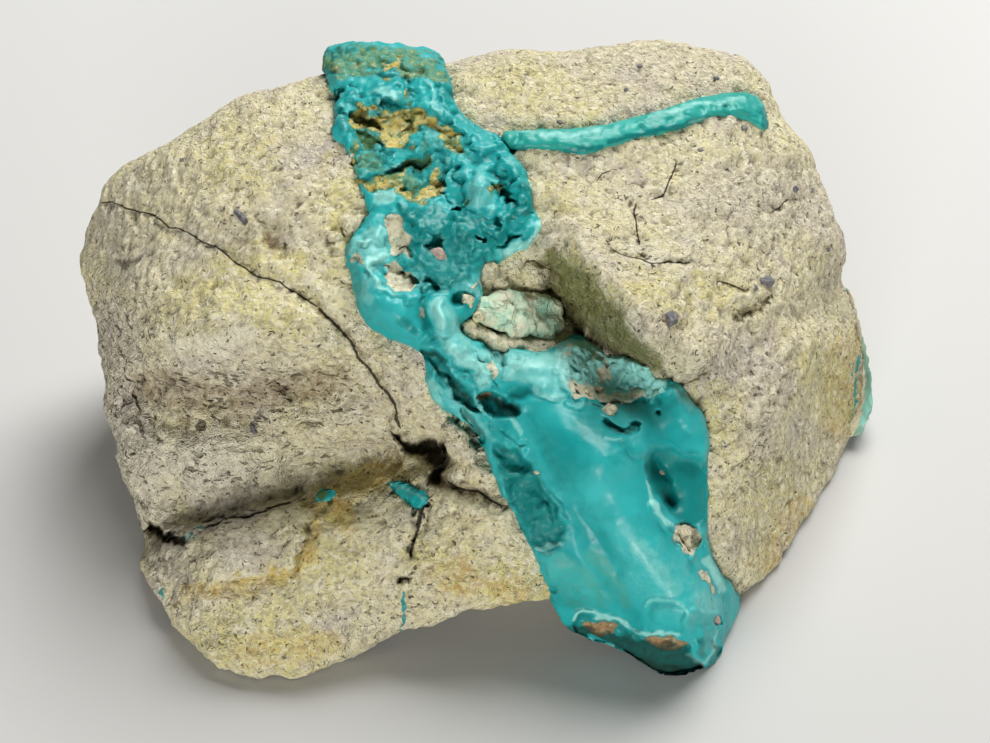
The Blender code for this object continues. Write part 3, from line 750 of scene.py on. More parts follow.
class Finish:
    """A material whose nodes are written as expressions."""

    def __init__(self, name: str, roughness: float = 0.5, **constants: float) -> None:
        """Starts a finish.

        Args:
            name: The material's name.
            roughness: The roughness where nothing else sets it.
            constants: Numbers of the shader's own sockets, with _ for a space.
        """
        self.material = bpy.data.materials.new(name)
        self.material.use_nodes = True
        self.tree = self.material.node_tree
        self.shader = self.tree.nodes["Principled BSDF"]
        self.shader.inputs["Roughness"].default_value = roughness
        for socket, value in constants.items():
            self.shader.inputs[socket.replace("_", " ")].default_value = value
        place = self.node("ShaderNodeTexCoord")
        self.place = place.outputs["Object"]
        self.colour: bpy.types.NodeSocket | None = None

    def node(self, kind: str, settings: dict | None = None, inputs: dict | None = None) -> bpy.types.Node:
        """Adds a node.

        Args:
            kind: The node's type.
            settings: Its settings, which are set first.
            inputs: Its sockets' values or links, by name or number.

        Returns:
            The node.
        """
        made = self.tree.nodes.new(kind)
        for setting, value in (settings or {}).items():
            setattr(made, setting, value)
        for key, value in (inputs or {}).items():
            self.feed(made.inputs[key], value)
        return made

    def feed(self, socket: bpy.types.NodeSocket, value: object) -> None:
        """Links a value or a socket to a socket, or sets it."""
        if isinstance(value, Value):
            value = value.socket
        if isinstance(value, bpy.types.NodeSocket):
            self.tree.links.new(value, socket)
        elif isinstance(value, tuple) and socket.type == "RGBA":
            socket.default_value = (*value, 1)
        else:
            socket.default_value = value

    def math(self, operation: str, left: Number, right: Number) -> Value:
        """Adds a Math node."""
        made = self.node("ShaderNodeMath", {"operation": operation}, {0: left, 1: right})
        return Value(self, made.outputs[0])

    def attribute(self, name: str) -> Value:
        """Reads what was kept on the points."""
        made = self.node("ShaderNodeAttribute", {"attribute_name": name})
        return Value(self, made.outputs["Fac"])

    def stretched(self, scale: Point, turn: Point) -> bpy.types.NodeSocket:
        """Gives the place with its axes stretched and turned."""
        made = self.node("ShaderNodeMapping", {}, {"Vector": self.place, "Scale": scale, "Rotation": turn})
        return made.outputs["Vector"]

    def clouds(
        self, size_mm: float, detail: float = 2.0, rough: float = 0.5, bend: float = 0.0,
        place: bpy.types.NodeSocket | None = None,
    ) -> Value:
        """Cloudy noise around 0.5.

        Args:
            size_mm: The size of its features.
            detail: How many finer layers it has.
            rough: How strong they are.
            bend: How far it is bent.
            place: The coordinates, if not the piece's own.

        Returns:
            The noise.
        """
        inputs = {"Vector": place or self.place, "Scale": 1000 / size_mm, "Detail": detail}
        inputs |= {"Roughness": rough, "Distortion": bend}
        return Value(self, self.node("ShaderNodeTexNoise", {}, inputs).outputs["Fac"])

    def cells(
        self, size_mm: float, output: str = "Distance", place: bpy.types.NodeSocket | None = None,
        feature: str = "F1",
    ) -> bpy.types.NodeSocket:
        """Scattered cells.

        Args:
            size_mm: The size of a cell.
            output: Distance or Color.
            place: The coordinates, if not the piece's own.
            feature: Which distance it gives.

        Returns:
            The node's socket.
        """
        inputs = {"Vector": place or self.place, "Scale": 1000 / size_mm}
        return self.node("ShaderNodeTexVoronoi", {"feature": feature}, inputs).outputs[output]

    def cell_share(self, size_mm: float, place: bpy.types.NodeSocket | None = None) -> Value:
        """A number from 0 to 1 for each of scattered cells."""
        colour = self.cells(size_mm, "Color", place)
        return Value(self, self.node("ShaderNodeSeparateColor", {}, {"Color": colour}).outputs[0])

    def wander(self, size_mm: float, reach_mm: float) -> bpy.types.NodeSocket:
        """Gives the place moved to and fro, so that cells are ragged."""
        inputs = {"Vector": self.place, "Scale": 1000 / size_mm}
        drift = self.node("ShaderNodeTexNoise", {}, inputs).outputs["Color"]
        reach = reach_mm * MM
        moved = self.node(
            "ShaderNodeVectorMath", {"operation": "MULTIPLY_ADD"},
            {0: drift, 1: (reach, reach, reach), 2: self.place},
        )
        return moved.outputs["Vector"]

    def step(self, value: Number, low: float, high: float) -> Value:
        """Rises smoothly from 0 at low to 1 at high."""
        flip = low > high
        inputs = {"Value": value, "From Min": min(low, high), "From Max": max(low, high)}
        inputs |= {"To Min": float(flip), "To Max": float(not flip)}
        made = self.node("ShaderNodeMapRange", {"interpolation_type": "SMOOTHSTEP"}, inputs)
        return Value(self, made.outputs["Result"])

    def mix(self, share: Number, below: object, above: object) -> bpy.types.NodeSocket:
        """Mixes two colours."""
        made = self.node("ShaderNodeMix", {"data_type": "RGBA"})
        self.feed(made.inputs["Factor"], share)
        self.feed(made.inputs[6], below)
        self.feed(made.inputs[7], above)
        return made.outputs[2]

    def lay(self, share: Number, above: object) -> None:
        """Lays a colour over the finish's own."""
        self.colour = self.mix(share, self.colour, above)

    def ramp(self, share: Number, stops: list[tuple[float, Colour]]) -> bpy.types.NodeSocket:
        """Reads a colour off a scale of stops."""
        made = self.node("ShaderNodeValToRGB", {}, {"Fac": share})
        scale = made.color_ramp.elements
        while len(scale) < len(stops):
            scale.new(0.5)
        for element, (place, colour) in zip(scale, stops):
            element.position = place
            element.color = (*colour, 1)
        return made.outputs["Color"]

    def bump(
        self, height: Number, depth_mm: float, under: bpy.types.NodeSocket | None = None
    ) -> bpy.types.NodeSocket:
        """Turns a height into a normal, over another if one is given."""
        inputs = {"Height": height, "Distance": depth_mm * MM, "Strength": 1.0}
        if under is not None:
            inputs["Normal"] = under
        return self.node("ShaderNodeBump", {}, inputs).outputs["Normal"]

    def done(self, roughness: object = None, normal: object = None) -> bpy.types.Material:
        """Feeds the shader, with the finish's own colour as its base colour.

        Args:
            roughness: The roughness, if it varies.
            normal: The normal, if it is bumped.

        Returns:
            The material.
        """
        self.feed(self.shader.inputs["Base Color"], self.colour)
        if roughness is not None:
            self.feed(self.shader.inputs["Roughness"], roughness)
        if normal is not None:
            self.feed(self.shader.inputs["Normal"], normal)
        return self.material


@dataclass(frozen=True)
class RockFinish:
    """Altered volcanic rock: cream and grey grains, fine pores, yellow stains."""

    name: str = "Gritty host rock"
    cream: Colour = (0.75, 0.685, 0.44)
    pale: Colour = (0.84, 0.80, 0.63)
    grey: Colour = (0.38, 0.34, 0.26)
    lilac: Colour = (0.57, 0.51, 0.45)
    yellow: Colour = (0.70, 0.63, 0.22)
    ochre: Colour = (0.56, 0.33, 0.07)
    brown: Colour = (0.20, 0.13, 0.06)
    moss_and_shade: Colour = (0.14, 0.15, 0.035)
    pore_and_shade: Colour = (0.09, 0.07, 0.035)
    teal: Colour = (0.07, 0.36, 0.33)
    crack: Colour = (0.016, 0.011, 0.006)

    def make(self) -> bpy.types.Material:
        """Builds the material.

        Returns:
            The material.
        """
        rock = Finish(self.name, roughness=0.95, Specular_IOR_Level=0.2)
        broad = rock.clouds(8, 3, 0.55)
        patch = rock.clouds(1.6, 3, 0.65, 0.3)
        ragged = rock.wander(0.25, 0.12)
        grain = rock.cell_share(0.30, ragged)
        fine = rock.clouds(0.30, 3, 0.7)
        crumb = rock.clouds(0.75, 4, 0.7, 0.4)
        flecks = rock.cell_share(0.55, ragged)
        edge = rock.attribute("edge")

        # The ground tints, in clouds and in dabs.
        rock.colour = rock.mix(rock.step(broad, 0.26, 0.55), self.lilac, self.cream)
        rock.lay(rock.step(patch, 0.42, 0.72) * 0.25, self.yellow)
        rock.lay(rock.attribute("yellow") * rock.step(patch, 0.25, 0.6) * 0.6, self.yellow)
        rock.lay(rock.step(patch, 0.50, 0.34) * 0.25, self.lilac)
        rock.lay(rock.attribute("grey") * 0.6, self.lilac)

        # Pale and grey mineral grains.
        rock.lay(rock.step(grain, 0.60, 0.98) * 0.6, self.pale)
        rock.lay(rock.step(grain, 0.42, 0.02) * 0.55, self.grey)
        rock.lay(rock.step(flecks, 0.93, 0.98) * 0.6, self.pale)
        # The pale dabs are partly pale rock and partly painted light: a painted highlight along the brow and
        # a lighter bulge.
        rock.lay(rock.attribute("pale") * rock.step(crumb, 0.3, 0.55) * 0.9, self.pale)

        # Stains: ochre, brown earth, moss and a film of turquoise; the brown and moss dabs also paint shade
        # under the brow and on the block's wall.
        stain = rock.attribute("ochre") * (rock.clouds(1.1, 4, 0.7) * 2.4 - 0.1)
        rock.lay(rock.step(stain, 0.2, 1.0) * 0.85, rock.mix(grain, self.ochre, self.yellow))
        earth_and_shade = rock.attribute("brown") * (crumb * 2.4 - 0.1)
        rock.lay(rock.step(earth_and_shade, 0.2, 0.9) * 0.8, self.brown)
        moss_and_shade = rock.attribute("moss_and_shade") * (crumb * 1.6 + 0.25)
        rock.lay(rock.step(moss_and_shade, 0.15, 1.0) * 0.85, self.moss_and_shade)
        film = rock.attribute("teal") * (rock.clouds(0.6, 3, 0.6) * 2.0)
        rock.lay(rock.step(film, 0.5, 0.75), self.teal)

        # Painted shade in the hollows and painted highlights on the edges of the relief.
        rock.lay(rock.step(edge, 0.5, 0.2) * 0.55, self.pore_and_shade)
        rock.lay(rock.step(edge, 0.55, 0.85) * 0.45, self.pale)

        # Pores, slits along the bedding, and cracks; the dark dabs are painted shade, laid near black in the
        # cavity, the slots and holes and along the block's wall.
        holes = rock.step(rock.clouds(0.42, 2, 0.55, 0.6), 0.375, 0.295) * rock.step(flecks, 0.25, 0.45)
        layered = rock.stretched((0.42, 0.5, 1.25), (0.25, -0.15, 0.0))
        slits = rock.step(rock.clouds(0.62, 3, 0.6, 0.5, place=layered), 0.42, 0.33) * rock.attribute("slits")
        hollow = rock.math("MAXIMUM", holes, slits)
        line = abs(rock.attribute("crack_side")) / (rock.attribute("crack_width") + 0.001)
        crack = rock.step(line + (fine - 0.5) * 2.2, 1.15, 0.65)
        crack = crack * rock.step(rock.attribute("crack_width"), 0.05, 0.4)
        rock.lay(hollow * 0.82, self.pore_and_shade)
        dark = rock.math("MAXIMUM", crack * 0.9, rock.attribute("dark"))
        rock.lay(dark, self.crack)
        height = fine + crumb * 2.2 + grain * 0.4 + rock.clouds(0.16, 2, 0.6) * 0.5 - hollow * 1.6
        normal = rock.bump(height, 0.27)
        return rock.done(normal=normal)


@dataclass(frozen=True)
class TurquoiseFinish:
    """Waxy turquoise, from pale blue to deep teal, with ochre and green where it is weathered."""

    name: str = "Waxy turquoise"
    middle: Colour = (0.008, 0.30, 0.30)
    light: Colour = (0.030, 0.40, 0.40)
    pale: Colour = (0.27, 0.62, 0.57)
    deep: Colour = (0.001, 0.18, 0.17)
    green: Colour = (0.07, 0.17, 0.06)
    olive: Colour = (0.11, 0.24, 0.11)
    olive_dark: Colour = (0.16, 0.14, 0.03)
    ochre: Colour = (0.52, 0.40, 0.08)
    cream: Colour = (0.58, 0.54, 0.38)
    tan: Colour = (0.24, 0.14, 0.06)
    hole: Colour = (0.006, 0.03, 0.02)
    sand: Colour = (0.58, 0.52, 0.24)
    chalk: Colour = (0.66, 0.63, 0.48)
    dirt: Colour = (0.25, 0.22, 0.12)
    rust: Colour = (0.38, 0.26, 0.13)
    waxiness: float = 0.42

    def make(self) -> bpy.types.Material:
        """Builds the material.

        Returns:
            The material.
        """
        wax = Finish(
            self.name, roughness=self.waxiness, Specular_IOR_Level=0.28,
            Coat_Weight=0.05, Coat_Roughness=0.2, Subsurface_Weight=0.12, Subsurface_Scale=0.0006,
        )
        broad = wax.clouds(5, 3, 0.5, 0.6)
        fine = wax.clouds(0.5, 3, 0.65)
        ragged = wax.wander(0.25, 0.12)
        speck = wax.cell_share(0.30, ragged)
        jitter = (wax.clouds(0.7, 5, 0.75) - 0.5) * 2.6
        stained = wax.attribute("ochre") * (jitter * 1.2 + (fine - 0.5) * 1.6 + 1.0)
        rough = wax.attribute("rough")
        edge = wax.attribute("edge")

        # The wax: clouds and dabs, then painted shade in the hollows and painted highlights on the edges.
        wax.colour = wax.ramp(broad, [(0.36, self.middle), (0.72, self.light)])
        # The light dabs are mostly the vein's own tint, with a little painted highlight.
        wax.lay(wax.attribute("light") * 0.85, self.light)
        # The deep dabs are partly the vein's own tint and partly painted shade.
        wax.lay(wax.step(wax.attribute("deep") + jitter * 0.3, 0.1, 1.0), self.deep)
        wax.lay(wax.step(wax.attribute("relief"), 0.5, 0.1) * 0.7, self.deep)
        wax.lay(wax.step(edge, 0.5, 0.15) * 0.8, self.deep)
        # The pale dabs are partly the vein's own tint and partly painted highlights.
        wax.lay(wax.step(wax.attribute("pale") + jitter * 0.3, 0.15, 1.0), self.pale)
        wax.lay(wax.step(edge, 0.56, 0.9) * (rough * 0.4 + 0.3), self.pale)

        # Weathered tinges of olive and green.
        tinge = wax.attribute("olive") * (jitter * 0.6 + 1.0)
        wax.lay(wax.step(tinge, 0.2, 1.0) * 0.75, self.olive)
        dark_tinge = wax.attribute("green") * (jitter * 0.8 + 1.0)
        wax.lay(wax.step(dark_tinge, 0.3, 0.8), self.green)
        wax.lay(wax.step(stained, 0.12, 0.45) * 0.85, self.olive)

        # Crumbs of ochre, cream and rust that fill the pockets.
        gold = wax.step(stained, 0.38, 0.75)
        grains = wax.mix(speck, self.ochre, self.sand)
        grains = wax.mix(wax.step(wax.clouds(1.3, 3, 0.6), 0.52, 0.66) * 0.8, grains, self.green)
        grains = wax.mix(wax.step(fine, 0.48, 0.34) * 0.85, grains, self.olive_dark)
        wax.lay(gold, grains)
        chalk = wax.step(wax.attribute("cream") * (jitter * 0.9 + 1.0), 0.35, 0.7)
        grains = wax.mix(wax.step(speck, 0.2, 0.8), self.cream, self.chalk)
        grains = wax.mix(wax.step(fine, 0.45, 0.30) * 0.6, grains, self.dirt)
        wax.lay(chalk, grains)
        rust = wax.step(wax.attribute("tan") * (jitter * 0.7 + 1.0), 0.3, 0.6)
        wax.lay(rust, wax.mix(speck, self.tan, self.rust))

        # Specks on the rough parts, and painted shade: the holes and the foot's underside laid near black.
        wax.lay(rough * wax.step(speck, 0.80, 0.97) * 0.3, self.pale)
        wax.lay(rough * wax.step(fine, 0.45, 0.25) * 0.45, self.deep)
        wax.lay(wax.attribute("hole") * (jitter * 0.4 + 0.9), self.hole)

        # Crumbs and rough parts are dull and gritty.
        earthy = wax.math("MAXIMUM", wax.math("MAXIMUM", gold, chalk), rust)
        gritty = wax.math("MAXIMUM", earthy, rough)
        sheen = self.waxiness + gritty * 0.4 + wax.attribute("hole") * 0.5 + (fine - 0.5) * 0.1
        normal = wax.bump(wax.clouds(1.6, 2, 0.5) + wax.clouds(0.12, 2, 0.5) * 0.03, 0.10)
        normal = wax.bump((fine + speck * 0.5) * gritty, 0.2, normal)
        return wax.done(sheen, normal)


@dataclass(frozen=True)
class ChunkFinish:
    """Chalky, pale green altered rock with yellow seams."""

    name: str = "Chalky pale chunk"
    pale: Colour = (0.52, 0.68, 0.50)
    green: Colour = (0.27, 0.52, 0.40)
    cream: Colour = (0.66, 0.63, 0.47)
    seam: Colour = (0.30, 0.27, 0.08)
    stain: Colour = (0.42, 0.40, 0.14)
    dust: Colour = (0.8, 0.84, 0.74)

    def make(self) -> bpy.types.Material:
        """Builds the material.

        Returns:
            The material.
        """
        chalk = Finish(self.name, roughness=0.85)
        patch = chalk.clouds(1.6, 3, 0.6, 0.4)
        fine = chalk.clouds(0.35, 3, 0.7)
        edges = Value(chalk, chalk.cells(3.2, place=chalk.wander(1.2, 0.9), feature="DISTANCE_TO_EDGE"))
        chalk.colour = chalk.ramp(patch, [(0.32, self.green), (0.46, self.pale), (0.66, self.cream)])
        seam = chalk.step(edges + (fine - 0.5) * 0.2, 0.05, 0.0)
        chalk.lay(seam * 0.25, self.seam)
        # Darker olive in the hollows, where a point stands below its surroundings.
        chalk.lay(chalk.step(chalk.attribute("edge"), 0.5, 0.2) * 0.7, self.stain)
        chalk.lay(chalk.step(fine, 0.6, 0.8) * 0.5, self.dust)
        normal = chalk.bump(fine - seam * 0.5 + patch * 1.5, 0.25)
        return chalk.done(normal=normal)


@dataclass(frozen=True)
class GrainFinish:
    """A crystal or pebble of one tint, a little mottled."""

    name: str
    tint: Colour
    shade: Colour
    roughness: float

    def make(self) -> bpy.types.Material:
        """Builds the material.

        Returns:
            The material.
        """
        grain = Finish(self.name, roughness=self.roughness)
        mottle = grain.clouds(0.5, 3, 0.65)
        grain.colour = grain.mix(grain.step(mottle, 0.35, 0.65), self.shade, self.tint)
        return grain.done(normal=grain.bump(mottle + grain.clouds(0.2, 2, 0.6), 0.12))


@dataclass(frozen=True)
class FloorFinish:
    """The plain pale floor."""

    name: str = "Pale floor"
    colour: Colour = (0.54, 0.54, 0.53)
    mottle: Colour = (0.52, 0.52, 0.51)

    def make(self) -> bpy.types.Material:
        """Builds the material.

        Returns:
            The material.
        """
        floor = Finish(self.name, roughness=0.9, Specular_IOR_Level=0.1)
        tone = floor.clouds(60, 2, 0.5)
        floor.colour = floor.mix(tone * 0.2, self.colour, self.mottle)
        return floor.done()


ROCK_CRACKS: list[Crack] = [
    # The long crack from the left edge to the dark cavity.
    (0.9, [(96, 203), (112, 202), (130, 209), (150, 214), (160, 218), (168, 226), (177, 227), (186, 232),
        (200, 240), (212, 245), (222, 252), (233, 261), (243, 267), (256, 276), (268, 279), (280, 281),
        (290, 290), (305, 298), (320, 308)]),
    (1.5, [(316, 305), (330, 320), (340, 330), (352, 345), (357, 358), (370, 370), (380, 386), (389, 395),
        (395, 405), (397, 418), (402, 429)]),
    # The cracks round the front lobe.
    (1.2, [(205, 528), (215, 524), (226, 518), (246, 517), (262, 512), (277, 505), (292, 502)]),
    (1.8, [(424, 500), (420, 513), (417, 530), (413, 546), (409, 558)]),
    (1.2, [(447, 480), (458, 487), (467, 490), (478, 492), (488, 499), (500, 505)]),
    # The short cracks right of the vein.
    (0.9, [(676, 162), (672, 175), (666, 187), (663, 196), (652, 201)]),
    (1.0, [(638, 204), (635, 215), (637, 229), (640, 244)]),
    (0.7, [(612, 249), (626, 256), (650, 262), (670, 263), (692, 263)]),
    (0.8, [(773, 211), (781, 205), (789, 198)]), (0.9, [(716, 281), (729, 284), (745, 291)]),
    (0.6, [(612, 170), (603, 172), (596, 180)]),
]

ROCK_RELIEF: list[Stroke] = crests(
    # The grooves of the cracks.
    (7, -0.55, [(96, 203), (130, 209), (168, 225), (200, 240), (233, 260), (268, 279), (290, 289)]),
    (9, -0.9, [(290, 289), (320, 308), (352, 345), (370, 370), (389, 395), (397, 418), (402, 430)]),
    (8, -1.0, [(205, 528), (226, 518), (262, 512), (292, 502)]),
    (7, -1.2, [(424, 500), (417, 530), (409, 558)]), (7, -0.8, [(445, 479), (467, 490), (500, 506)]),
    (5, -0.5, [(676, 162), (663, 196), (652, 201)]), (5, -0.5, [(638, 204), (637, 229), (640, 244)]),
    (6, -0.6, [(612, 249), (650, 262), (692, 263)]), (6, -0.5, [(773, 211), (789, 198)]),
    (6, -0.5, [(716, 281), (745, 291)]),
) + pits(
    # Slots and holes, and the groove at the foot of the block's wall, whose olive is partly painted shade.
    (6, -2.0, [(150, 533), (168, 539), (184, 538)]), (4, -1.0, [(405, 577)]),
    (9, -0.8, [(534, 262), (560, 290), (583, 327), (606, 348), (640, 366)]),
    (6, -0.9, [(740, 316), (756, 309), (768, 301)]), (5, -0.7, [(660, 381), (680, 384), (700, 372)]),
    (5, -0.8, [(455, 318), (461, 334)]), (5, -0.7, [(345, 229), (361, 227), (378, 229)]),
) + domes(
    # Stones left of the vein, round the chunk and on the front lobe.
    (15, 0.5, [(355, 222)]), (11, 0.5, [(340, 240)]), (9, 0.4, [(322, 232)]),
    (12, 0.9, [(478, 338), (500, 342)]), (12, 1.0, [(520, 345), (556, 346)]), (9, 0.6, [(508, 336)]),
    (14, 0.8, [(535, 279)]), (10, 0.9, [(486, 272)]), (8, 0.7, [(500, 285)]), (12, 0.6, [(545, 244)]),
    (24, 0.7, [(243, 555)]), (18, 0.6, [(300, 532)]),
    # Hollows at the long crack, then lumps below the cavity and left of the lobe.
    (14, -0.5, [(237, 238), (262, 236), (280, 250)]), (10, -0.5, [(262, 222), (280, 238)]),
    (12, 0.8, [(462, 470), (484, 478)]), (13, 0.7, [(447, 505), (478, 508)]),
    (16, 0.6, [(150, 560), (158, 588)]), (10, -0.6, [(178, 556), (186, 580)]),
    # Broad swells and troughs, left of the vein and then right of it.
    (46, 1.1, [(140, 296), (215, 318), (310, 318)]), (44, 1.0, [(170, 462), (225, 462), (262, 476)]),
    (40, -1.3, [(150, 398), (240, 396), (340, 380)]), (26, -0.9, [(300, 462), (350, 456), (388, 450)]),
    (12, -0.5, [(300, 500), (312, 540)]), (16, 0.4, [(700, 300)]), (22, 0.5, [(720, 550)]),
    (16, -0.4, [(770, 210)]),
) + areas(
    # The block on the front lobe, then the dark cavity.
    (5, 0.95, [(176, 545), (196, 524), (226, 512), (264, 503), (300, 500), (307, 520), (303, 548),
        (298, 566), (280, 575), (262, 582), (236, 580), (208, 588), (184, 572)]),
    (7, -2.6, [(400, 428), (420, 437), (442, 436), (453, 452), (448, 468), (441, 480), (432, 470),
        (424, 458), (412, 450)]),
)

ROCK_COLOURS: Colours = {
    "yellow": daubs(
        (1.0, 46, [(205, 285), (250, 278)]), (0.8, 60, [(240, 160)]), (0.9, 26, [(345, 180), (340, 260)]),
        (0.8, 34, [(180, 300), (300, 318)]), (0.9, 40, [(590, 300), (560, 270)]),
        (1.0, 14, [(480, 340), (520, 350), (560, 345)]), (1.0, 40, [(430, 560), (500, 580), (545, 590)]),
        (0.9, 50, [(220, 640), (300, 650)]), (0.8, 30, [(700, 500), (712, 540)]),
        (0.9, 34, [(700, 395), (725, 440)]), (0.9, 34, [(640, 280), (720, 300)]),
        (0.8, 60, [(330, 560), (250, 620)]), (0.7, 60, [(450, 560)]), (0.6, 50, [(510, 90), (600, 100)]),
        (0.9, 22, [(262, 248), (300, 262)]), (0.9, 30, [(400, 460), (350, 485)]),
        (1.0, 40, [(820, 370), (840, 400)]), (0.8, 30, [(775, 470), (765, 500)]),
        (0.8, 20, [(330, 150), (345, 190)]), (0.7, 40, [(560, 200)]),
    ),
    "grey": daubs(
        (0.9, 44, [(115, 330), (120, 420), (140, 500)]), (0.9, 40, [(200, 455), (230, 500)]),
        (0.7, 40, [(170, 380), (280, 380)]), (1.0, 30, [(230, 540), (270, 550)]),
        (0.8, 60, [(720, 200), (800, 200)]), (0.6, 30, [(650, 340), (690, 350)]),
        (0.7, 40, [(110, 230), (130, 260)]), (0.6, 30, [(190, 250)]), (0.6, 24, [(270, 215), (300, 235)]),
        (0.7, 30, [(770, 380), (755, 440)]), (0.6, 50, [(600, 70), (700, 60)]), (0.5, 30, [(730, 540)]),
    ),
    # Pale rock, with a painted highlight along the brow and painted light on the bulge below the band.
    "pale": daubs(
        (0.8, 14, [(180, 345), (225, 340), (255, 335)]), (0.8, 22, [(205, 450), (240, 455)]),
        (0.5, 50, [(160, 460), (220, 470), (290, 478)]), (0.45, 40, [(120, 440), (150, 500)]),
        (0.6, 12, [(235, 552)]), (0.8, 6, [(645, 255)]), (0.8, 6, [(815, 273)]),
        (0.7, 14, [(455, 438), (470, 455)]), (0.5, 20, [(640, 250), (680, 268)]),
        (0.7, 14, [(500, 342), (550, 346)]), (0.6, 10, [(690, 240)]), (0.5, 12, [(160, 275), (175, 262)]),
        (0.6, 14, [(484, 272)]),
    ),
    "ochre": daubs(
        (0.85, 22, [(326, 508), (345, 520)]), (0.9, 10, [(335, 518), (350, 512)]),
        (0.7, 9, [(308, 506), (314, 536), (304, 566)]), (0.6, 12, [(200, 592), (236, 586), (280, 582)]),
        (0.8, 9, [(275, 578), (300, 570)]), (0.5, 22, [(190, 590), (250, 592)]),
        (0.5, 30, [(240, 655), (330, 640)]), (0.5, 20, [(430, 575), (470, 570)]),
        (0.5, 40, [(850, 350), (842, 420)]), (0.5, 34, [(800, 510), (770, 560)]),
        (0.6, 24, [(450, 590), (520, 592)]), (0.6, 30, [(330, 500), (390, 470)]),
        (0.6, 10, [(520, 600), (550, 598)]), (0.5, 18, [(310, 520), (312, 555)]), (0.6, 8, [(240, 570)]),
        (0.5, 10, [(545, 570), (550, 590)]), (0.55, 16, [(370, 470), (395, 462)]),
    ),
    # Brown stains, and painted shade in the band under the brow and along the block's wall.
    "brown": daubs(
        (0.85, 5, [(295, 249)]), (0.6, 16, [(400, 448), (390, 470)]), (0.5, 12, [(185, 410), (200, 440)]),
        (0.55, 34, [(150, 385), (230, 398), (330, 380)]), (0.7, 8, [(262, 240), (280, 244)]),
        (0.6, 8, [(750, 315), (765, 306)]), (0.55, 14, [(440, 478), (470, 492)]),
        (0.9, 4, [(176, 600), (186, 606)]), (0.5, 6, [(415, 553)]), (0.5, 10, [(548, 265), (575, 320)]),
        (0.5, 10, [(600, 300), (632, 350)]), (0.45, 12, [(590, 280), (600, 320)]), (0.8, 5, [(700, 352)]),
        (0.6, 4, [(540, 190)]),
    ),
    "teal": daubs(
        (1.0, 3.6, [(404, 584), (404, 600), (405, 614), (402, 626), (401, 636)]),
        (0.8, 5, [(160, 590), (166, 592)]), (0.8, 5, [(186, 534), (198, 530)]),
        (0.5, 16, [(825, 400), (838, 408)]), (0.5, 6, [(370, 480), (384, 484)]),
        (0.75, 5, [(862, 356), (858, 400), (856, 428)]), (0.5, 6, [(455, 470), (470, 474)]),
        (0.4, 12, [(465, 466)]), (0.5, 8, [(436, 500), (430, 520)]),
    ),
    # Olive on the block's wall and under its lip: partly a green stain, partly painted shade.
    "moss_and_shade": patches(
        (0.9, 24, [(540, 252), (572, 258), (598, 275), (606, 298), (640, 330), (660, 356), (660, 386),
            (630, 370), (600, 350), (572, 334), (552, 308)]),
        (0.5, 20, [(650, 372), (690, 372), (712, 352), (720, 366), (700, 392), (664, 392)]),
    ),
    # Painted shade: near black in the cavity, the slots and holes, and along the foot of the block's wall.
    "dark": patches(
        (0.9, 4, [(401, 430), (420, 440), (440, 439), (449, 452), (446, 466), (441, 477), (434, 470),
            (425, 457), (413, 449)]),
    ) + daubs(
        (0.85, 5, [(150, 532), (168, 538), (182, 538)]), (0.95, 5, [(405, 577)]),
        (0.55, 8, [(536, 262), (545, 285)]), (0.6, 5, [(560, 300), (583, 330), (606, 350), (640, 368)]),
        (0.6, 5, [(345, 228), (361, 226), (378, 230)]), (0.75, 5, [(455, 318), (461, 336)]),
        (0.7, 4, [(120, 262), (140, 257)]), (0.8, 3, [(273, 379)]), (0.5, 4, [(172, 383), (180, 387)]),
        (0.6, 4, [(325, 235), (332, 243)]), (0.6, 3.5, [(525, 284)]),
    ),
    "slits": daubs(
        (1.0, 70, [(110, 330), (120, 420), (150, 490)]), (1.0, 60, [(200, 400), (330, 400)]),
        (0.8, 40, [(200, 470), (320, 450)]), (0.6, 50, [(760, 380), (745, 450)]),
    ),
}


@dataclass
class HostRock:
    """The rock itself."""

    material: bpy.types.Material
    cracks: list[Crack]
    relief: list[Stroke]
    colours: Colours
    node: str = "host_rock"
    cell: float = 0.00063
    calm_share: float = 0.35
    edge_on: tuple[float, float] = (0.1, 0.55)

    def build(self, inlays: list[bpy.types.Object]) -> bpy.types.Object:
        """Models and dresses the rock.

        Args:
            inlays: The finished pieces that are set in it.

        Returns:
            The finished piece.
        """
        clay = Clay.from_node("Host_rock_skin", self.node)
        clay.even_out(self.cell, rounds=2)
        clay.split_seen(least=-0.2)
        clay.wobble()
        places = PICTURE.project(clay.points)[:, :2]
        bedded = daub_strength(places, self.colours["slits"])

        # The relief is calmer where the rock is seen edge on, so that its outline isn't toothed.
        calm = self.calm_share + (1 - self.calm_share) * ease(np.abs(clay.facing()), *self.edge_on)
        clay.roughen(grain=0.0036, height=0.00026, seed=3.1)
        clay.roughen(grain=0.0014, height=0.00032, seed=7.7, share=calm)
        clay.roughen(grain=0.0016, height=0.00034, seed=5.7, share=bedded, stretch=(0.45, 0.6, 1.5))

        # The finest relief comes after the seam, so that it covers the drawn points too.
        clay.close_on(inlays, reach=0.0012, overlap=0.0004)
        clay.soften(rounds=1)
        clay.roughen(grain=0.0007, height=0.00024, seed=1.9, share=calm)
        clay.model(self.relief)
        clay.keep_edges(rounds=6, depth=0.0003)
        clay.paint(self.colours)
        clay.keep_cracks(self.cracks)
        return clay.finish(self.material, "host_rock", self.node)


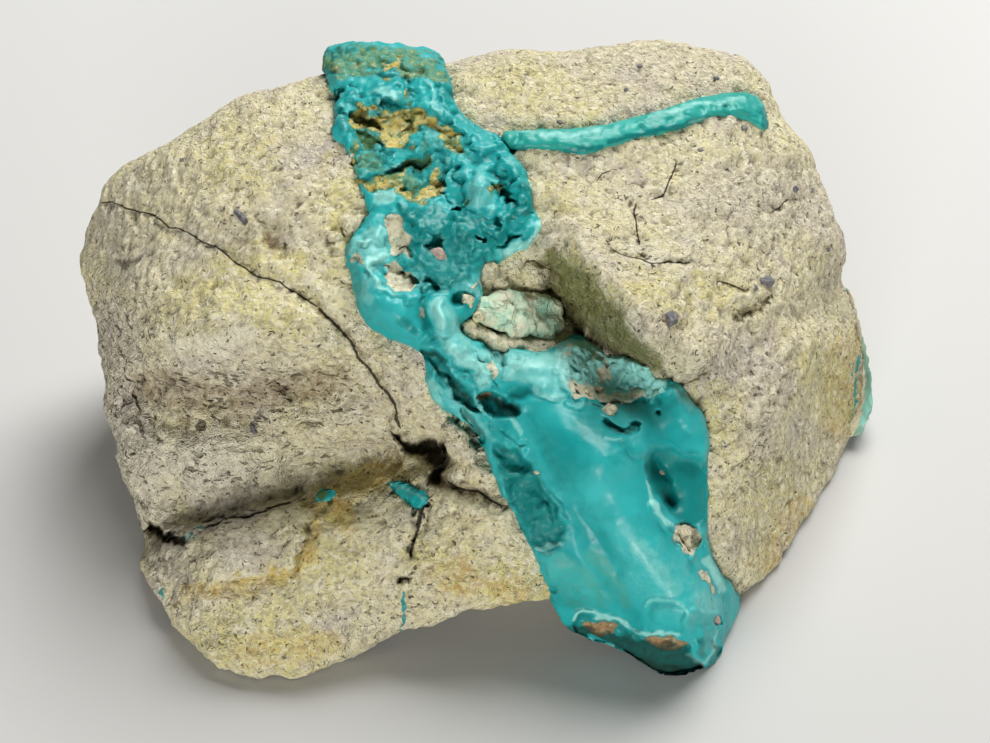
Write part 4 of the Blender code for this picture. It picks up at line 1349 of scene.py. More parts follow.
VEIN_RELIEF: list[Stroke] = areas(
    # The cap's ledges, the gold pocket under them and the ridge in it.
    (7, 0.55, [(334, 80), (352, 76), (372, 78), (400, 84), (406, 98), (398, 112), (380, 122), (368, 118),
        (360, 110), (350, 100), (338, 116)]),
    (6, 0.5, [(369, 88), (384, 85), (400, 88), (403, 98), (392, 106), (384, 116), (374, 112)]),
    (6, 0.5, [(412, 88), (430, 80), (448, 84), (454, 104), (468, 122), (500, 138), (496, 148), (476, 142),
        (458, 128), (440, 112), (420, 104)]),
    (8, -0.7, [(352, 118), (368, 122), (384, 124), (396, 112), (412, 106), (430, 112), (446, 128),
        (462, 146), (472, 158), (452, 166), (444, 192), (404, 200), (362, 188), (352, 150)]),
    (5, 0.5, [(384, 158), (402, 146), (420, 132), (436, 130), (450, 148), (440, 158), (422, 152),
        (404, 160), (398, 168), (376, 178), (362, 172), (364, 156)]),
    # The knob, the curl and the band right of the pocket.
    (7, 0.6, [(462, 186), (468, 170), (480, 163), (492, 168), (498, 182), (497, 202), (486, 212),
        (468, 206)]),
    (6, 0.5, [(500, 150), (512, 152), (518, 170), (532, 192), (531, 210), (518, 222), (500, 228),
        (496, 216), (512, 206), (514, 190), (502, 172)]),
    (6, 0.3, [(404, 212), (440, 206), (500, 216), (512, 226), (494, 246), (472, 260), (440, 236),
        (412, 236)]),
    # The two cream windows and the smooth lobes left of them.
    (4, -0.5, [(380, 224), (392, 219), (404, 228), (412, 250), (400, 257), (388, 248)]),
    (4, -0.6, [(384, 268), (394, 262), (406, 264), (412, 276), (408, 288), (396, 290), (387, 282)]),
    (6, 0.6, [(354, 274), (366, 262), (374, 270), (380, 286), (394, 294), (414, 293), (420, 304),
        (416, 318), (424, 336), (400, 338), (372, 322), (358, 300)]),
    (5, 0.4, [(350, 236), (366, 229), (378, 240), (376, 256), (360, 262), (350, 252)]),
    # The neck and the hollows on both sides of it.
    (5, 0.5, [(426, 290), (446, 292), (452, 310), (458, 332), (478, 350), (492, 372), (484, 380),
        (460, 362), (436, 340), (424, 318)]),
    (5, -0.9, [(416, 348), (428, 350), (440, 362), (452, 372), (446, 378), (430, 368)]),
    (5, -1.0, [(446, 374), (458, 382), (470, 394), (480, 410), (470, 408), (452, 390)]),
    (5, -1.7, [(478, 394), (496, 394), (512, 404), (520, 414), (512, 418), (494, 412)]),
    (5, -0.9, [(484, 346), (500, 348), (512, 358), (502, 368), (490, 358)]),
    (7, -0.4, [(508, 386), (524, 384), (534, 392), (522, 402), (512, 396)]),
    # The bridge under the chunk and the lace right of it.
    (6, 0.5, [(504, 366), (520, 354), (556, 350), (570, 366), (566, 398), (540, 396), (526, 384),
        (508, 378)]),
    (10, 1.0, [(556, 352), (590, 346), (612, 356), (650, 366), (664, 384), (648, 398), (600, 400),
        (566, 392)]),
    # The smooth slab, its two slots and the seat of its stone.
    (6, 0.4, [(600, 404), (640, 402), (672, 388), (692, 402), (706, 430), (706, 456), (670, 450),
        (640, 456), (620, 442)]),
    (14, 0.7, [(516, 404), (566, 396), (640, 410), (648, 456), (648, 486), (662, 512), (692, 552),
        (722, 580), (738, 602), (722, 634), (690, 632), (640, 620), (606, 584), (578, 532), (558, 486),
        (536, 446)]),
    (8, -0.9, [(648, 466), (660, 462), (672, 482), (674, 506), (668, 508), (654, 492)]),
    (14, -0.9, [(650, 450), (680, 454), (700, 458), (708, 476), (706, 522), (690, 528), (668, 514),
        (652, 484)]),
    (4, -1.0, [(670, 526), (686, 524), (698, 536), (694, 548), (684, 552), (674, 542)]),
    # The hollows of the left flank.
    (9, -0.7, [(496, 446), (512, 452), (530, 466), (526, 476), (508, 466), (498, 458)]),
    (9, -0.5, [(502, 478), (530, 482), (552, 506), (562, 536), (546, 542), (530, 532), (512, 506)]),
    (16, 0.3, [(532, 548), (548, 541), (566, 546), (580, 566), (570, 600), (552, 590)]),
    # The foot's underside and its right edge.
    (4, -1.1, [(572, 628), (584, 616), (606, 615), (640, 634), (678, 636), (688, 654), (704, 668),
        (690, 690), (640, 672), (590, 646)]),
    (5, 0.5, [(686, 612), (716, 612), (722, 634), (716, 654), (704, 664), (692, 656), (684, 636)]),
) + domes(
    # Knobs of the cap.
    (13, 0.4, [(335, 56), (333, 68)]), (10, 0.35, [(356, 54)]), (9, 0.3, [(384, 56)]),
    (12, 0.35, [(432, 66), (440, 82)]), (7, 0.4, [(356, 92), (352, 104)]),
    (8, 0.4, [(340, 106), (345, 113)]),
    # Knobs in and round the gold pocket.
    (9, 0.7, [(342, 127)]), (7, 0.4, [(340, 82)]), (5, 0.35, [(378, 96), (386, 104)]),
    (6, 0.4, [(398, 120)]), (6, 0.3, [(425, 118)]), (7, 0.4, [(455, 122), (472, 136)]),
    (8, 0.5, [(485, 146)]), (6, 0.4, [(366, 155)]), (6, 0.4, [(388, 160)]), (6, 0.4, [(410, 148)]),
    (6, 0.4, [(430, 140)]), (10, 0.7, [(414, 184)]), (5, 0.4, [(374, 172)]), (7, 0.4, [(450, 168)]),
    (6, 0.4, [(460, 172)]),
    # Knobs of the curl and the band.
    (14, 0.6, [(482, 182), (484, 194)]), (8, 0.7, [(507, 137)]), (7, 0.5, [(504, 156), (514, 168)]),
    (8, 0.5, [(522, 186), (527, 198), (520, 211)]), (6, 0.4, [(500, 176)]),
    (7, 0.4, [(500, 205), (508, 214)]), (8, 0.4, [(452, 218)]), (8, 0.5, [(462, 232)]),
    (6, 0.5, [(447, 230)]), (7, 0.4, [(480, 222), (492, 228)]), (7, 0.5, [(470, 248)]),
    (7, 0.5, [(456, 254)]), (6, 0.5, [(463, 268)]), (6, 0.4, [(450, 276)]),
    (6, 0.4, [(422, 218), (412, 228)]), (6, 0.4, [(424, 258)]), (5, 0.4, [(438, 272)]),
    (5, 0.4, [(422, 282)]),
    # The smooth lobes and the neck.
    (11, 0.5, [(364, 242)]), (8, 0.4, [(386, 254), (374, 262)]),
    (18, 0.6, [(370, 290), (384, 308), (398, 320)]), (9, 0.5, [(410, 300)]),
    (9, 0.6, [(438, 304), (444, 330)]), (9, 0.5, [(470, 290)]), (8, 0.4, [(468, 360), (490, 384)]),
    (7, 0.4, [(440, 392), (432, 380)]),
    # The bridge and the lace.
    (12, 0.5, [(525, 366), (552, 366)]), (8, 0.4, [(578, 350)]), (9, 0.5, [(546, 388)]),
    (8, 0.4, [(590, 368)]), (6, 0.5, [(612, 372)]), (6, 0.5, [(628, 367)]), (6, 0.5, [(642, 378)]),
    (6, 0.4, [(622, 382)]), (8, 0.6, [(648, 396)]),
    # The slab, the foot and the left flank.
    (12, 0.4, [(678, 402), (692, 424)]), (44, 0.7, [(580, 440), (605, 490), (640, 545)]),
    (28, 0.5, [(665, 580), (690, 605)]), (10, 0.5, [(655, 506), (670, 526), (692, 552)]),
    (8, 0.3, [(705, 556), (716, 580)]), (10, 0.5, [(700, 644), (706, 630)]), (12, 0.3, [(604, 600)]),
    (14, 0.4, [(662, 614), (684, 616)]), (10, 0.4, [(534, 500), (548, 524)]), (7, 0.5, [(522, 450)]),
    (7, 0.4, [(516, 492)]), (6, 0.4, [(498, 408), (520, 436)]), (8, 0.3, [(540, 510)]),
) + crests(
    # Sharp rims.
    (6, 0.55, [(368, 263), (372, 278), (381, 289), (394, 294), (410, 292)]),
    (5, 0.5, [(567, 403), (576, 407), (588, 403), (602, 402)]),
    (7, 0.3, [(604, 437), (613, 440), (622, 437)]),
    (5, 0.35, [(574, 620), (583, 612), (592, 610), (606, 612), (624, 622), (642, 631), (664, 632)]),
    (5, 0.4, [(645, 460), (647, 478), (650, 496), (658, 508), (666, 524), (680, 542), (692, 554)]),
    (4, 0.2, [(644, 608), (655, 601), (670, 600), (684, 606), (694, 616)]),
    (8, 0.3, [(500, 398), (518, 424), (536, 456), (560, 496)]),
    (7, 0.3, [(484, 404), (508, 436), (538, 480), (566, 522)]),
    (4, 0.3, [(448, 362), (470, 386), (490, 404)]), (4, 0.4, [(500, 250), (516, 240), (536, 226)]),
    (4, 0.4, [(508, 257), (524, 247), (540, 234)]), (4, 0.3, [(704, 540), (711, 556), (718, 568)]),
    (4, 0.35, [(426, 84), (432, 96), (442, 108)]), (4, 0.35, [(436, 82), (443, 96), (452, 108)]),
    # Sharp grooves.
    (14, -0.35, [(528, 416), (540, 442), (556, 474), (574, 508), (596, 540), (618, 574)]),
    (4, -0.5, [(418, 296), (419, 312), (426, 326), (436, 340)]),
    (4, -0.4, [(461, 178), (462, 196), (474, 207)]), (4, -0.4, [(500, 166), (499, 182), (500, 198)]),
    (4, -0.5, [(497, 246), (508, 237), (516, 229)]), (4, -0.4, [(404, 84), (408, 100), (402, 110)]),
    (5, -0.5, [(560, 345), (590, 350), (600, 362)]), (4, -0.4, [(470, 345), (480, 362), (500, 384)]),
    (4, -0.4, [(604, 362), (640, 392), (660, 402)]), (4, -0.4, [(604, 378), (636, 388)]),
    (4, -0.4, [(360, 76), (362, 92), (366, 104)]), (4, -0.4, [(380, 64), (400, 70), (410, 84)]),
) + pits(
    # Holes, from the cap down to the foot.
    (7, -1.5, [(345, 92)]), (6, -1.2, [(363, 121), (373, 129)]), (4, -0.7, [(352, 118)]),
    (5, -0.7, [(396, 108), (384, 118)]), (6, -0.6, [(402, 128)]), (5, -0.7, [(362, 142), (372, 144)]),
    (4, -0.8, [(392, 172), (410, 165), (426, 158)]), (5, -0.9, [(436, 184), (448, 183)]),
    (5, -0.9, [(455, 206)]), (4, -0.7, [(470, 201)]), (6, -1.4, [(508, 197)]), (4, -0.8, [(502, 187)]),
    (5, -1.1, [(496, 210), (493, 217)]), (6, -0.9, [(434, 243)]), (4, -0.9, [(478, 234)]),
    (5, -0.9, [(431, 284), (424, 274)]), (4, -0.9, [(412, 275)]), (8, -1.1, [(458, 301)]),
    (4, -0.7, [(402, 250), (412, 248)]), (4, -0.7, [(505, 241), (514, 232)]),
    (4, -0.9, [(462, 408), (472, 424), (482, 440)]),
    (6, -1.0, [(607, 424), (616, 430), (628, 431), (637, 426)]), (3.5, -0.9, [(660, 413)]),
    (3.5, -0.7, [(580, 389)]), (4, -0.7, [(603, 400), (612, 398)]), (5, -0.9, [(717, 620)]),
    (5, -0.7, [(716, 640), (719, 650)]), (5, -0.6, [(540, 562), (552, 588)]), (4, -0.5, [(446, 196)]),
    (5, -0.5, [(576, 374)]), (5, -0.5, [(632, 392)]), (4, -0.5, [(404, 190)]), (4, -0.5, [(376, 150)]),
)

VEIN_COLOURS: Colours = {
    # Lighter turquoise, mostly the vein's own tint, with painted highlight on the lump in the cap and the
    # slab's right corner.
    "light": daubs(
        (1.0, 30, [(600, 500), (650, 560), (690, 600)]), (0.9, 30, [(540, 370), (580, 385)]),
        (0.9, 20, [(370, 285), (385, 305)]), (0.9, 14, [(480, 180), (486, 195)]),
        (0.8, 14, [(440, 310), (450, 350)]), (0.8, 20, [(470, 370), (500, 400)]),
        (0.8, 18, [(686, 400), (696, 425)]), (0.5, 12, [(432, 92)]), (0.7, 12, [(384, 96)]),
        (0.8, 16, [(380, 200), (400, 204)]),
    ),
    # Pale turquoise, partly the vein's own tint and partly painted highlights: thin lines on crests and rims,
    # the arc on the bulb and spots on the lumps.
    "pale": daubs(
        (0.65, 12, [(380, 94), (392, 98)]), (0.8, 12, [(374, 198), (396, 204)]), (0.9, 12, [(362, 242)]),
        (0.95, 12, [(384, 254), (374, 264)]), (0.5, 14, [(366, 284), (372, 300)]),
        (0.85, 10, [(434, 302), (440, 325)]), (0.8, 14, [(452, 346), (470, 364), (484, 380)]),
        (0.95, 13, [(508, 254), (528, 242), (540, 228)]), (0.75, 14, [(520, 366), (560, 358)]),
        (0.5, 4, [(567, 404), (588, 404), (602, 403)]), (0.3, 5, [(606, 438), (622, 439)]),
        (0.5, 20, [(640, 548), (672, 588)]), (0.45, 20, [(700, 600), (712, 604)]),
        (0.8, 3.5, [(574, 619), (592, 610), (622, 620), (650, 631), (682, 632)]),
        (0.8, 3, [(646, 480), (652, 500), (666, 524), (680, 542), (692, 553)]),
        (0.75, 4, [(658, 512), (668, 526)]), (0.7, 3.5, [(538, 544), (562, 541)]),
        (0.6, 4, [(690, 656), (702, 662), (714, 650), (717, 630)]), (0.7, 8, [(708, 560), (722, 588)]),
        (0.6, 8, [(430, 384), (440, 404)]), (0.6, 4, [(426, 86), (440, 106)]), (0.8, 6, [(450, 168)]),
        (0.7, 4, [(488, 189)]), (0.6, 7, [(466, 282), (476, 298)]), (0.5, 8, [(512, 158)]),
        (0.5, 3.5, [(645, 607), (670, 600), (694, 615)]), (0.6, 8, [(538, 392), (560, 398)]),
        (0.8, 4, [(368, 264), (374, 280), (384, 290), (396, 294)]), (0.6, 5, [(500, 400), (520, 430)]),
        (0.5, 12, [(680, 392), (690, 404)]), (0.45, 10, [(430, 134), (444, 150)]),
    ) + patches(
        (1.0, 8, [(556, 344), (590, 342), (612, 352), (654, 360), (668, 382), (654, 398), (620, 396),
            (600, 390), (570, 396), (556, 372)]),
        (0.6, 10, [(350, 232), (376, 226), (384, 252), (380, 270), (356, 268)]),
        (0.5, 10, [(464, 186), (470, 170), (482, 164), (494, 172), (497, 196), (482, 206), (468, 200)]),
        (0.55, 12, [(424, 300), (448, 300), (470, 340), (500, 352), (560, 350), (566, 392), (530, 388),
            (500, 376), (470, 372), (440, 348)]),
        (0.45, 10, [(428, 380), (446, 386), (470, 408), (500, 440), (484, 440), (452, 412)]),
        (0.28, 40, [(612, 520), (650, 520), (700, 570), (732, 604), (716, 632), (660, 620), (612, 580)]),
        (0.35, 12, [(450, 280), (480, 262), (500, 250), (490, 280), (470, 310)]),
    ),
    # Deep teal, partly the vein's own tint and partly painted shade: in hollows and grooves, under the hood
    # and the bulb, and on the foot's underside.
    "deep": daubs(
        (0.8, 14, [(334, 56), (334, 72)]), (0.8, 8, [(395, 107), (374, 120)]),
        (0.7, 8, [(340, 110), (345, 124)]), (0.6, 16, [(436, 64), (446, 90)]), (0.6, 10, [(356, 96)]),
        (0.9, 12, [(408, 218), (426, 234)]), (0.8, 9, [(522, 186), (526, 204), (512, 216)]),
        (0.9, 8, [(458, 301)]), (0.7, 9, [(402, 324), (416, 330)]), (0.8, 5, [(418, 296), (426, 328)]),
        (0.8, 8, [(700, 640), (702, 652)]), (0.8, 5, [(497, 246), (516, 229)]),
        (0.8, 8, [(720, 650), (710, 668)]), (0.7, 5, [(612, 368), (626, 378)]),
        (0.5, 26, [(585, 425), (620, 450)]), (0.35, 16, [(560, 470), (588, 520), (612, 560)]),
        (0.5, 20, [(560, 590), (580, 606)]), (0.35, 12, [(530, 420), (556, 474), (596, 540)]),
        (0.35, 8, [(654, 608), (672, 606)]),
    ) + patches(
        (0.75, 10, [(404, 212), (450, 208), (500, 218), (510, 228), (490, 250), (460, 282), (436, 292),
            (414, 286), (412, 248)]),
        (0.9, 6, [(482, 344), (502, 348), (512, 358), (502, 368), (490, 360)]),
        (0.85, 8, [(418, 350), (440, 360), (476, 396), (480, 412), (462, 404), (430, 370)]),
        (0.4, 8, [(508, 386), (524, 384), (534, 392), (522, 402), (512, 396)]),
        (0.5, 8, [(646, 456), (664, 450), (706, 452), (706, 524), (688, 524), (668, 510), (652, 494)]),
        (0.6, 6, [(648, 462), (664, 456), (676, 480), (672, 508), (654, 492)]),
        (0.85, 10, [(494, 444), (520, 456), (548, 490), (566, 536), (548, 552), (528, 536), (504, 494)]),
        (1.0, 6, [(572, 628), (606, 624), (640, 636), (678, 640), (700, 668), (690, 690), (640, 672),
            (590, 646)]),
    ),
    "green": daubs(
        (0.9, 8, [(362, 143), (372, 143)]), (0.6, 12, [(366, 158), (380, 168)]), (0.7, 5, [(355, 118)]),
        (0.75, 9, [(400, 167), (425, 159)]), (0.6, 8, [(455, 152), (470, 155)]), (0.5, 5, [(450, 204)]),
    ),
    "olive": daubs(
        (1.0, 12, [(412, 180), (416, 190)]), (0.7, 12, [(455, 150), (468, 156)]), (0.8, 7, [(648, 395)]),
        (0.5, 14, [(560, 556), (584, 572), (600, 598)]), (0.5, 13, [(592, 556), (612, 578), (626, 602)]),
        (0.6, 12, [(360, 166), (376, 160)]), (0.45, 10, [(392, 62), (412, 56)]), (0.6, 12, [(425, 145)]),
    ) + patches(
        (0.4, 20, [(540, 552), (572, 550), (608, 574), (632, 600), (606, 610), (580, 616), (560, 606)]),
        (0.5, 12, [(324, 62), (332, 44), (400, 46), (444, 60), (450, 84), (400, 78), (360, 74), (330, 84)]),
    ),
    "ochre": daubs(
        (0.8, 6, [(396, 66), (388, 76)]), (0.7, 5, [(404, 98)]), (0.6, 6, [(495, 188), (503, 190)]),
        (0.6, 6, [(352, 150), (358, 172)]), (0.6, 6, [(402, 196), (425, 202)]), (0.5, 5, [(470, 198)]),
    ) + patches(
        (0.4, 10, [(330, 56), (400, 48), (440, 60), (450, 84), (400, 80), (360, 74), (334, 80)]),
        (1.2, 8, [(352, 120), (366, 114), (380, 122), (396, 112), (414, 106), (430, 110), (452, 132),
            (472, 150), (462, 160), (446, 146), (436, 130), (420, 128), (404, 142), (380, 144), (376, 134),
            (358, 134)]),
        (1.1, 8, [(356, 178), (372, 184), (392, 176), (404, 172), (402, 190), (386, 192), (362, 188)]),
        (1.1, 7, [(426, 174), (440, 176), (446, 190), (438, 198), (404, 200), (402, 194), (424, 192)]),
    ),
    "cream": daubs(
        (0.7, 6, [(352, 258), (362, 262)]), (0.8, 6, [(630, 392)]), (0.8, 5, [(596, 358), (600, 370)]),
        (0.8, 6, [(488, 368), (496, 376)]), (0.8, 5, [(534, 473)]), (0.7, 5, [(604, 410), (614, 408)]),
        (0.7, 6, [(430, 418), (438, 406)]), (0.6, 6, [(446, 190)]), (0.6, 6, [(470, 288), (480, 276)]),
        (0.7, 5, [(712, 590), (704, 572)]), (0.6, 5, [(420, 308), (420, 316)]),
        (0.6, 5, [(568, 362), (574, 350)]),
    ) + patches(
        (1.0, 5, [(378, 226), (392, 218), (404, 226), (413, 250), (400, 256), (388, 248)]),
        (1.0, 5, [(384, 268), (394, 261), (408, 264), (413, 278), (408, 290), (396, 290), (387, 282)]),
        (1.0, 5, [(570, 384), (600, 382), (618, 386), (640, 394), (620, 402), (600, 397), (574, 397)]),
        (1.0, 4, [(672, 528), (686, 524), (698, 536), (694, 548), (684, 552), (676, 542)]),
    ),
    "tan": daubs(
        (0.9, 4, [(700, 664)]), (0.8, 5, [(480, 395), (492, 397)]),
    ) + patches(
        (0.8, 8, [(582, 622), (592, 617), (606, 617), (622, 626), (612, 634), (594, 632)]),
        (0.8, 8, [(650, 634), (668, 635), (684, 638), (682, 650), (666, 650), (655, 643)]),
    ),
    # Painted shade: near black in the holes and on the foot's underside.
    "hole": daubs(
        (0.9, 6, [(345, 92)]), (0.85, 5, [(363, 121), (373, 129)]), (0.6, 4, [(396, 170), (424, 160)]),
        (0.8, 4, [(438, 184), (448, 183)]), (0.6, 5, [(455, 206)]), (0.9, 5, [(508, 197)]),
        (0.6, 3, [(502, 187)]), (0.6, 3, [(495, 213)]), (0.6, 4, [(434, 243)]), (0.5, 3, [(478, 234)]),
        (0.7, 4, [(412, 275)]), (0.6, 4, [(431, 284)]), (0.9, 5, [(449, 380), (468, 398)]),
        (0.95, 6, [(488, 398), (516, 410)]), (0.9, 4, [(420, 350), (440, 366)]),
        (0.8, 4, [(608, 425), (617, 430), (628, 431), (635, 427)]), (0.8, 3, [(660, 413)]),
        (0.7, 3, [(580, 389)]), (0.5, 5, [(660, 492), (668, 503)]), (0.5, 5, [(504, 450)]),
        (0.6, 4, [(676, 526)]), (0.5, 3, [(400, 250), (412, 249)]), (0.5, 6, [(640, 655), (664, 668)]),
        (0.6, 3, [(600, 629)]), (0.6, 3, [(464, 410), (478, 434)]),
    ) + patches(
        (0.85, 5, [(562, 628), (580, 626), (592, 624), (612, 628), (640, 638), (676, 642), (688, 654),
            (706, 668), (698, 700), (650, 695), (600, 670), (562, 644)]),
        (1.1, 12, [(560, 636), (600, 640), (640, 654), (690, 666), (706, 670), (700, 700), (600, 690)]),
    ),
    "rough": daubs(
        (1.0, 12, [(480, 372), (500, 352)]), (0.8, 14, [(358, 250)]), (0.6, 26, [(430, 270), (460, 250)]),
    ) + patches(
        (0.7, 10, [(424, 344), (450, 342), (480, 352), (530, 352), (520, 372), (500, 384), (490, 400),
            (520, 450), (500, 440), (470, 408), (440, 396)]),
        (0.9, 8, [(324, 62), (332, 46), (400, 48), (440, 60), (446, 78), (400, 80), (360, 74), (330, 80)]),
        (1.0, 8, [(352, 114), (396, 110), (430, 108), (476, 150), (452, 170), (446, 196), (404, 202),
            (360, 188)]),
        (0.9, 8, [(378, 222), (404, 224), (414, 256), (412, 290), (386, 286), (382, 260)]),
        (1.0, 8, [(562, 346), (612, 356), (660, 368), (666, 396), (620, 404), (574, 398), (566, 380)]),
        (0.8, 6, [(672, 524), (700, 534), (694, 554), (674, 544)]),
        (0.7, 8, [(580, 614), (620, 622), (684, 636), (684, 650), (600, 634)]),
        (0.35, 16, [(490, 440), (520, 450), (552, 488), (572, 536), (548, 558), (524, 540), (498, 494)]),
    ),
}


@dataclass
class MainVein:
    """The broad vein, smooth below the first height in pixels and knobbly above the second.

    The relief in mm is the range of heights that the finish can tell apart.
    """

    relief: list[Stroke]
    colours: Colours
    node: str = "turquoise_vein"
    cell: float = 0.00033
    knobbly_px: tuple[float, float] = (330, 250)
    relief_mm: float = 2.6
    smooth_share: float = 0.15
    least_wander: float = 0.45
    more_wander: float = 0.75

    def build(self) -> bpy.types.Object:
        """Models and dresses the vein.

        Returns:
            The finished piece.
        """
        clay = Clay.from_node("Turquoise_vein_skin", self.node)
        clay.even_out(self.cell, rounds=2)
        clay.swell(push=0.0003, grain=0.0016, seed=5.3)
        clay.split_seen(least=0.05)

        # Only the knobbly top and the crumbly dabs wander and roughen fully. The rest stays smooth.
        seen = PICTURE.project(clay.points)
        before = seen[:, 2].copy()
        knobbly = ease(seen[:, 1], *self.knobbly_px)
        crumbly = daub_strength(seen[:, :2], self.colours["rough"])
        clay.wobble(self.least_wander + self.more_wander * np.maximum(knobbly, crumbly))
        clay.model(self.relief)
        lively = self.smooth_share + (1 - self.smooth_share) * knobbly
        clay.roughen(grain=0.0016, height=0.00024, seed=2.2, share=lively)
        clay.roughen(grain=0.0006, height=0.00020, seed=4.4, share=np.maximum(crumbly, 0.5 * knobbly))
        clay.knob(grain=0.0007, height=0.00022, seed=9.1, share=crumbly)

        # The finish reads the relief and its edges, to paint shade into the hollows and highlights onto the
        # rims.
        rise = PICTURE.project(clay.points)[:, 2] - before
        clay.keep("relief", 0.5 + rise / (self.relief_mm * MM))
        clay.keep_edges(rounds=10, depth=0.0003)
        clay.paint(self.colours)
        return clay.finish(TurquoiseFinish().make(), "turquoise", self.node)


@dataclass
class SmallVein:
    """A thin vein, crust or chip of turquoise."""

    node: str
    piece: str
    slot: str
    finish: TurquoiseFinish
    cell: float
    swelling: float = 0.0001
    unevenness: float = 1.0
    seed: float = 1.0
    relief: list[Stroke] = field(default_factory=list)
    colours: Colours = field(default_factory=dict)

    def build(self) -> bpy.types.Object:
        """Models and dresses the piece.

        Returns:
            The finished piece.
        """
        clay = Clay.from_node(self.piece, self.node)
        clay.swell(self.swelling, grain=0.0014, seed=self.seed)
        clay.even_out(self.cell, rounds=2)
        clay.wobble(self.unevenness)
        clay.roughen(grain=0.0013, height=0.00016 * self.unevenness, seed=self.seed + 1)
        clay.roughen(grain=0.0006, height=0.00010, seed=self.seed + 3)
        clay.model(self.relief)
        clay.keep("relief", np.full(len(clay.points), 0.5))
        clay.keep_edges(rounds=8, depth=0.0003)
        clay.paint(self.colours)
        return clay.finish(self.finish.make(), self.slot, self.node)


@dataclass
class StoneBit:
    """A chunk of rock let into the show face."""

    node: str
    piece: str
    slot: str
    material: bpy.types.Material
    cell: float = 0.00022
    lump_size: float = 0.0024
    lump_height: float = 0.0010
    seed: float = 1.0

    def build(self) -> bpy.types.Object:
        """Models and dresses the chunk.

        Returns:
            The finished piece.
        """
        clay = Clay.from_node(self.piece, self.node)
        clay.swell(push=0.0001, grain=0.0015, seed=self.seed)
        clay.even_out(self.cell, rounds=1)
        clay.knob(self.lump_size, self.lump_height, self.seed + 2)
        clay.knob(grain=0.0010, height=0.00035, seed=self.seed + 6)
        clay.roughen(grain=0.0006, height=0.00020, seed=self.seed + 4)
        clay.keep_edges(rounds=8, depth=0.0003)
        return clay.finish(self.material, self.slot, self.node)


@dataclass(frozen=True)
class Grain:
    """A crystal or pebble: its place and size in pixels, its turn in degrees and its lift in mm."""

    x: float
    y: float
    width: float
    height: float
    turn: float = 0.0
    lift: float = 0.0


@dataclass
class Grains:
    """Crystals or pebbles of one kind, partly sunk in what carries them.

    The sizes of the grain that all are copied from are shares of its width.
    """

    piece: str
    slot: str
    material: bpy.types.Material
    grains: list[Grain]
    angular: bool = True
    unevenness: float = 0.14
    seed: int = 1
    bevel: float = 0.2
    patch: float = 0.55
    tilt: float = 0.2

    @property
    def sunk(self) -> float:
        """The share of a grain's height that lies below the surface."""
        return 0.25 if self.angular else 0.1

    def model_one(self) -> bpy.types.Object:
        """Models the grain that all are copied from.

        Returns:
            A grain of unit size at the origin.
        """
        bpy.ops.object.select_all(action="DESELECT")
        if self.angular:
            bpy.ops.mesh.primitive_cube_add(size=1)
        else:
            bpy.ops.mesh.primitive_ico_sphere_add(subdivisions=3, radius=0.5)
        grain = bpy.context.object
        clay = Clay(grain)
        if self.angular:
            clay.apply("BEVEL", width=self.bevel, segments=2)
            clay.apply("SUBSURF", levels=2, render_levels=2, subdivision_type="SIMPLE")
        clay.roughen(self.patch, self.unevenness, float(self.seed))
        clay.keep("edge", np.full(len(clay.points), 0.5))
        return grain

    def lay(self, grain: Grain, trees: list[BVHTree], draw: np.random.Generator) -> Matrix:
        """Finds how a grain lies on the first surface that its sight line meets.

        Args:
            grain: The grain.
            trees: The surfaces that may carry it.
            draw: Gives its tilt.

        Returns:
            What turns the model into the grain.
        """
        eye = Vector(PICTURE.eye())
        far = PICTURE.unproject(np.array([[grain.x, grain.y, 0.0]]))[0]
        sight = (Vector(far) - eye).normalized()
        hits = [tree.ray_cast(eye, sight) for tree in trees]
        place, normal = min(
            ((hit[0], hit[1]) for hit in hits if hit[0] is not None),
            key=lambda hit: (hit[0] - eye).length,
        )
        wide, high = grain.width * PICTURE.pixel, grain.height * PICTURE.pixel
        tilts = draw.uniform(-self.tilt, self.tilt), draw.uniform(-self.tilt, self.tilt)
        spin = Euler((*tilts, math.radians(-grain.turn))).to_matrix().to_4x4()
        lie = normal.to_track_quat("Z", "Y").to_matrix().to_4x4()
        size = Matrix.Diagonal((wide, high, (wide + high) / 2, 1))
        rise = Matrix.Translation(place + normal * (grain.lift * MM - self.sunk * high))
        return rise @ lie @ spin @ size

    def build(self, carriers: list[bpy.types.Object]) -> bpy.types.Object:
        """Models the grains.

        Args:
            carriers: The pieces that may carry a grain.

        Returns:
            All the grains as one piece.
        """
        graph = bpy.context.evaluated_depsgraph_get()
        trees = [BVHTree.FromObject(carrier, graph) for carrier in carriers]
        model = self.model_one()
        draw = np.random.default_rng(self.seed)
        copies = []
        for grain in self.grains:
            copy = bpy.data.objects.new(self.piece, model.data.copy())
            bpy.context.scene.collection.objects.link(copy)
            copy.data.transform(self.lay(grain, trees, draw))
            copies.append(copy)
        bpy.data.objects.remove(model)
        select_only(copies[0])
        for copy in copies[1:]:
            copy.select_set(True)
        bpy.ops.object.join()
        copies[0].name = self.piece
        return Clay(copies[0]).finish(self.material, self.slot)


@dataclass(frozen=True)
class Lamp:
    """A square soft light: where it hangs, the length of its side, its power in watts and its colour."""

    name: str
    place: Point
    size: float
    watts: float
    colour: Colour


LAMPS = (
    Lamp("Key_light", (0.115, 0.225, 0.38), 0.32, 3.4, (1.0, 0.99, 0.97)),
    Lamp("Front_light", (-0.06, -0.55, 0.11), 0.20, 2.7, (1.0, 0.985, 0.96)),
)


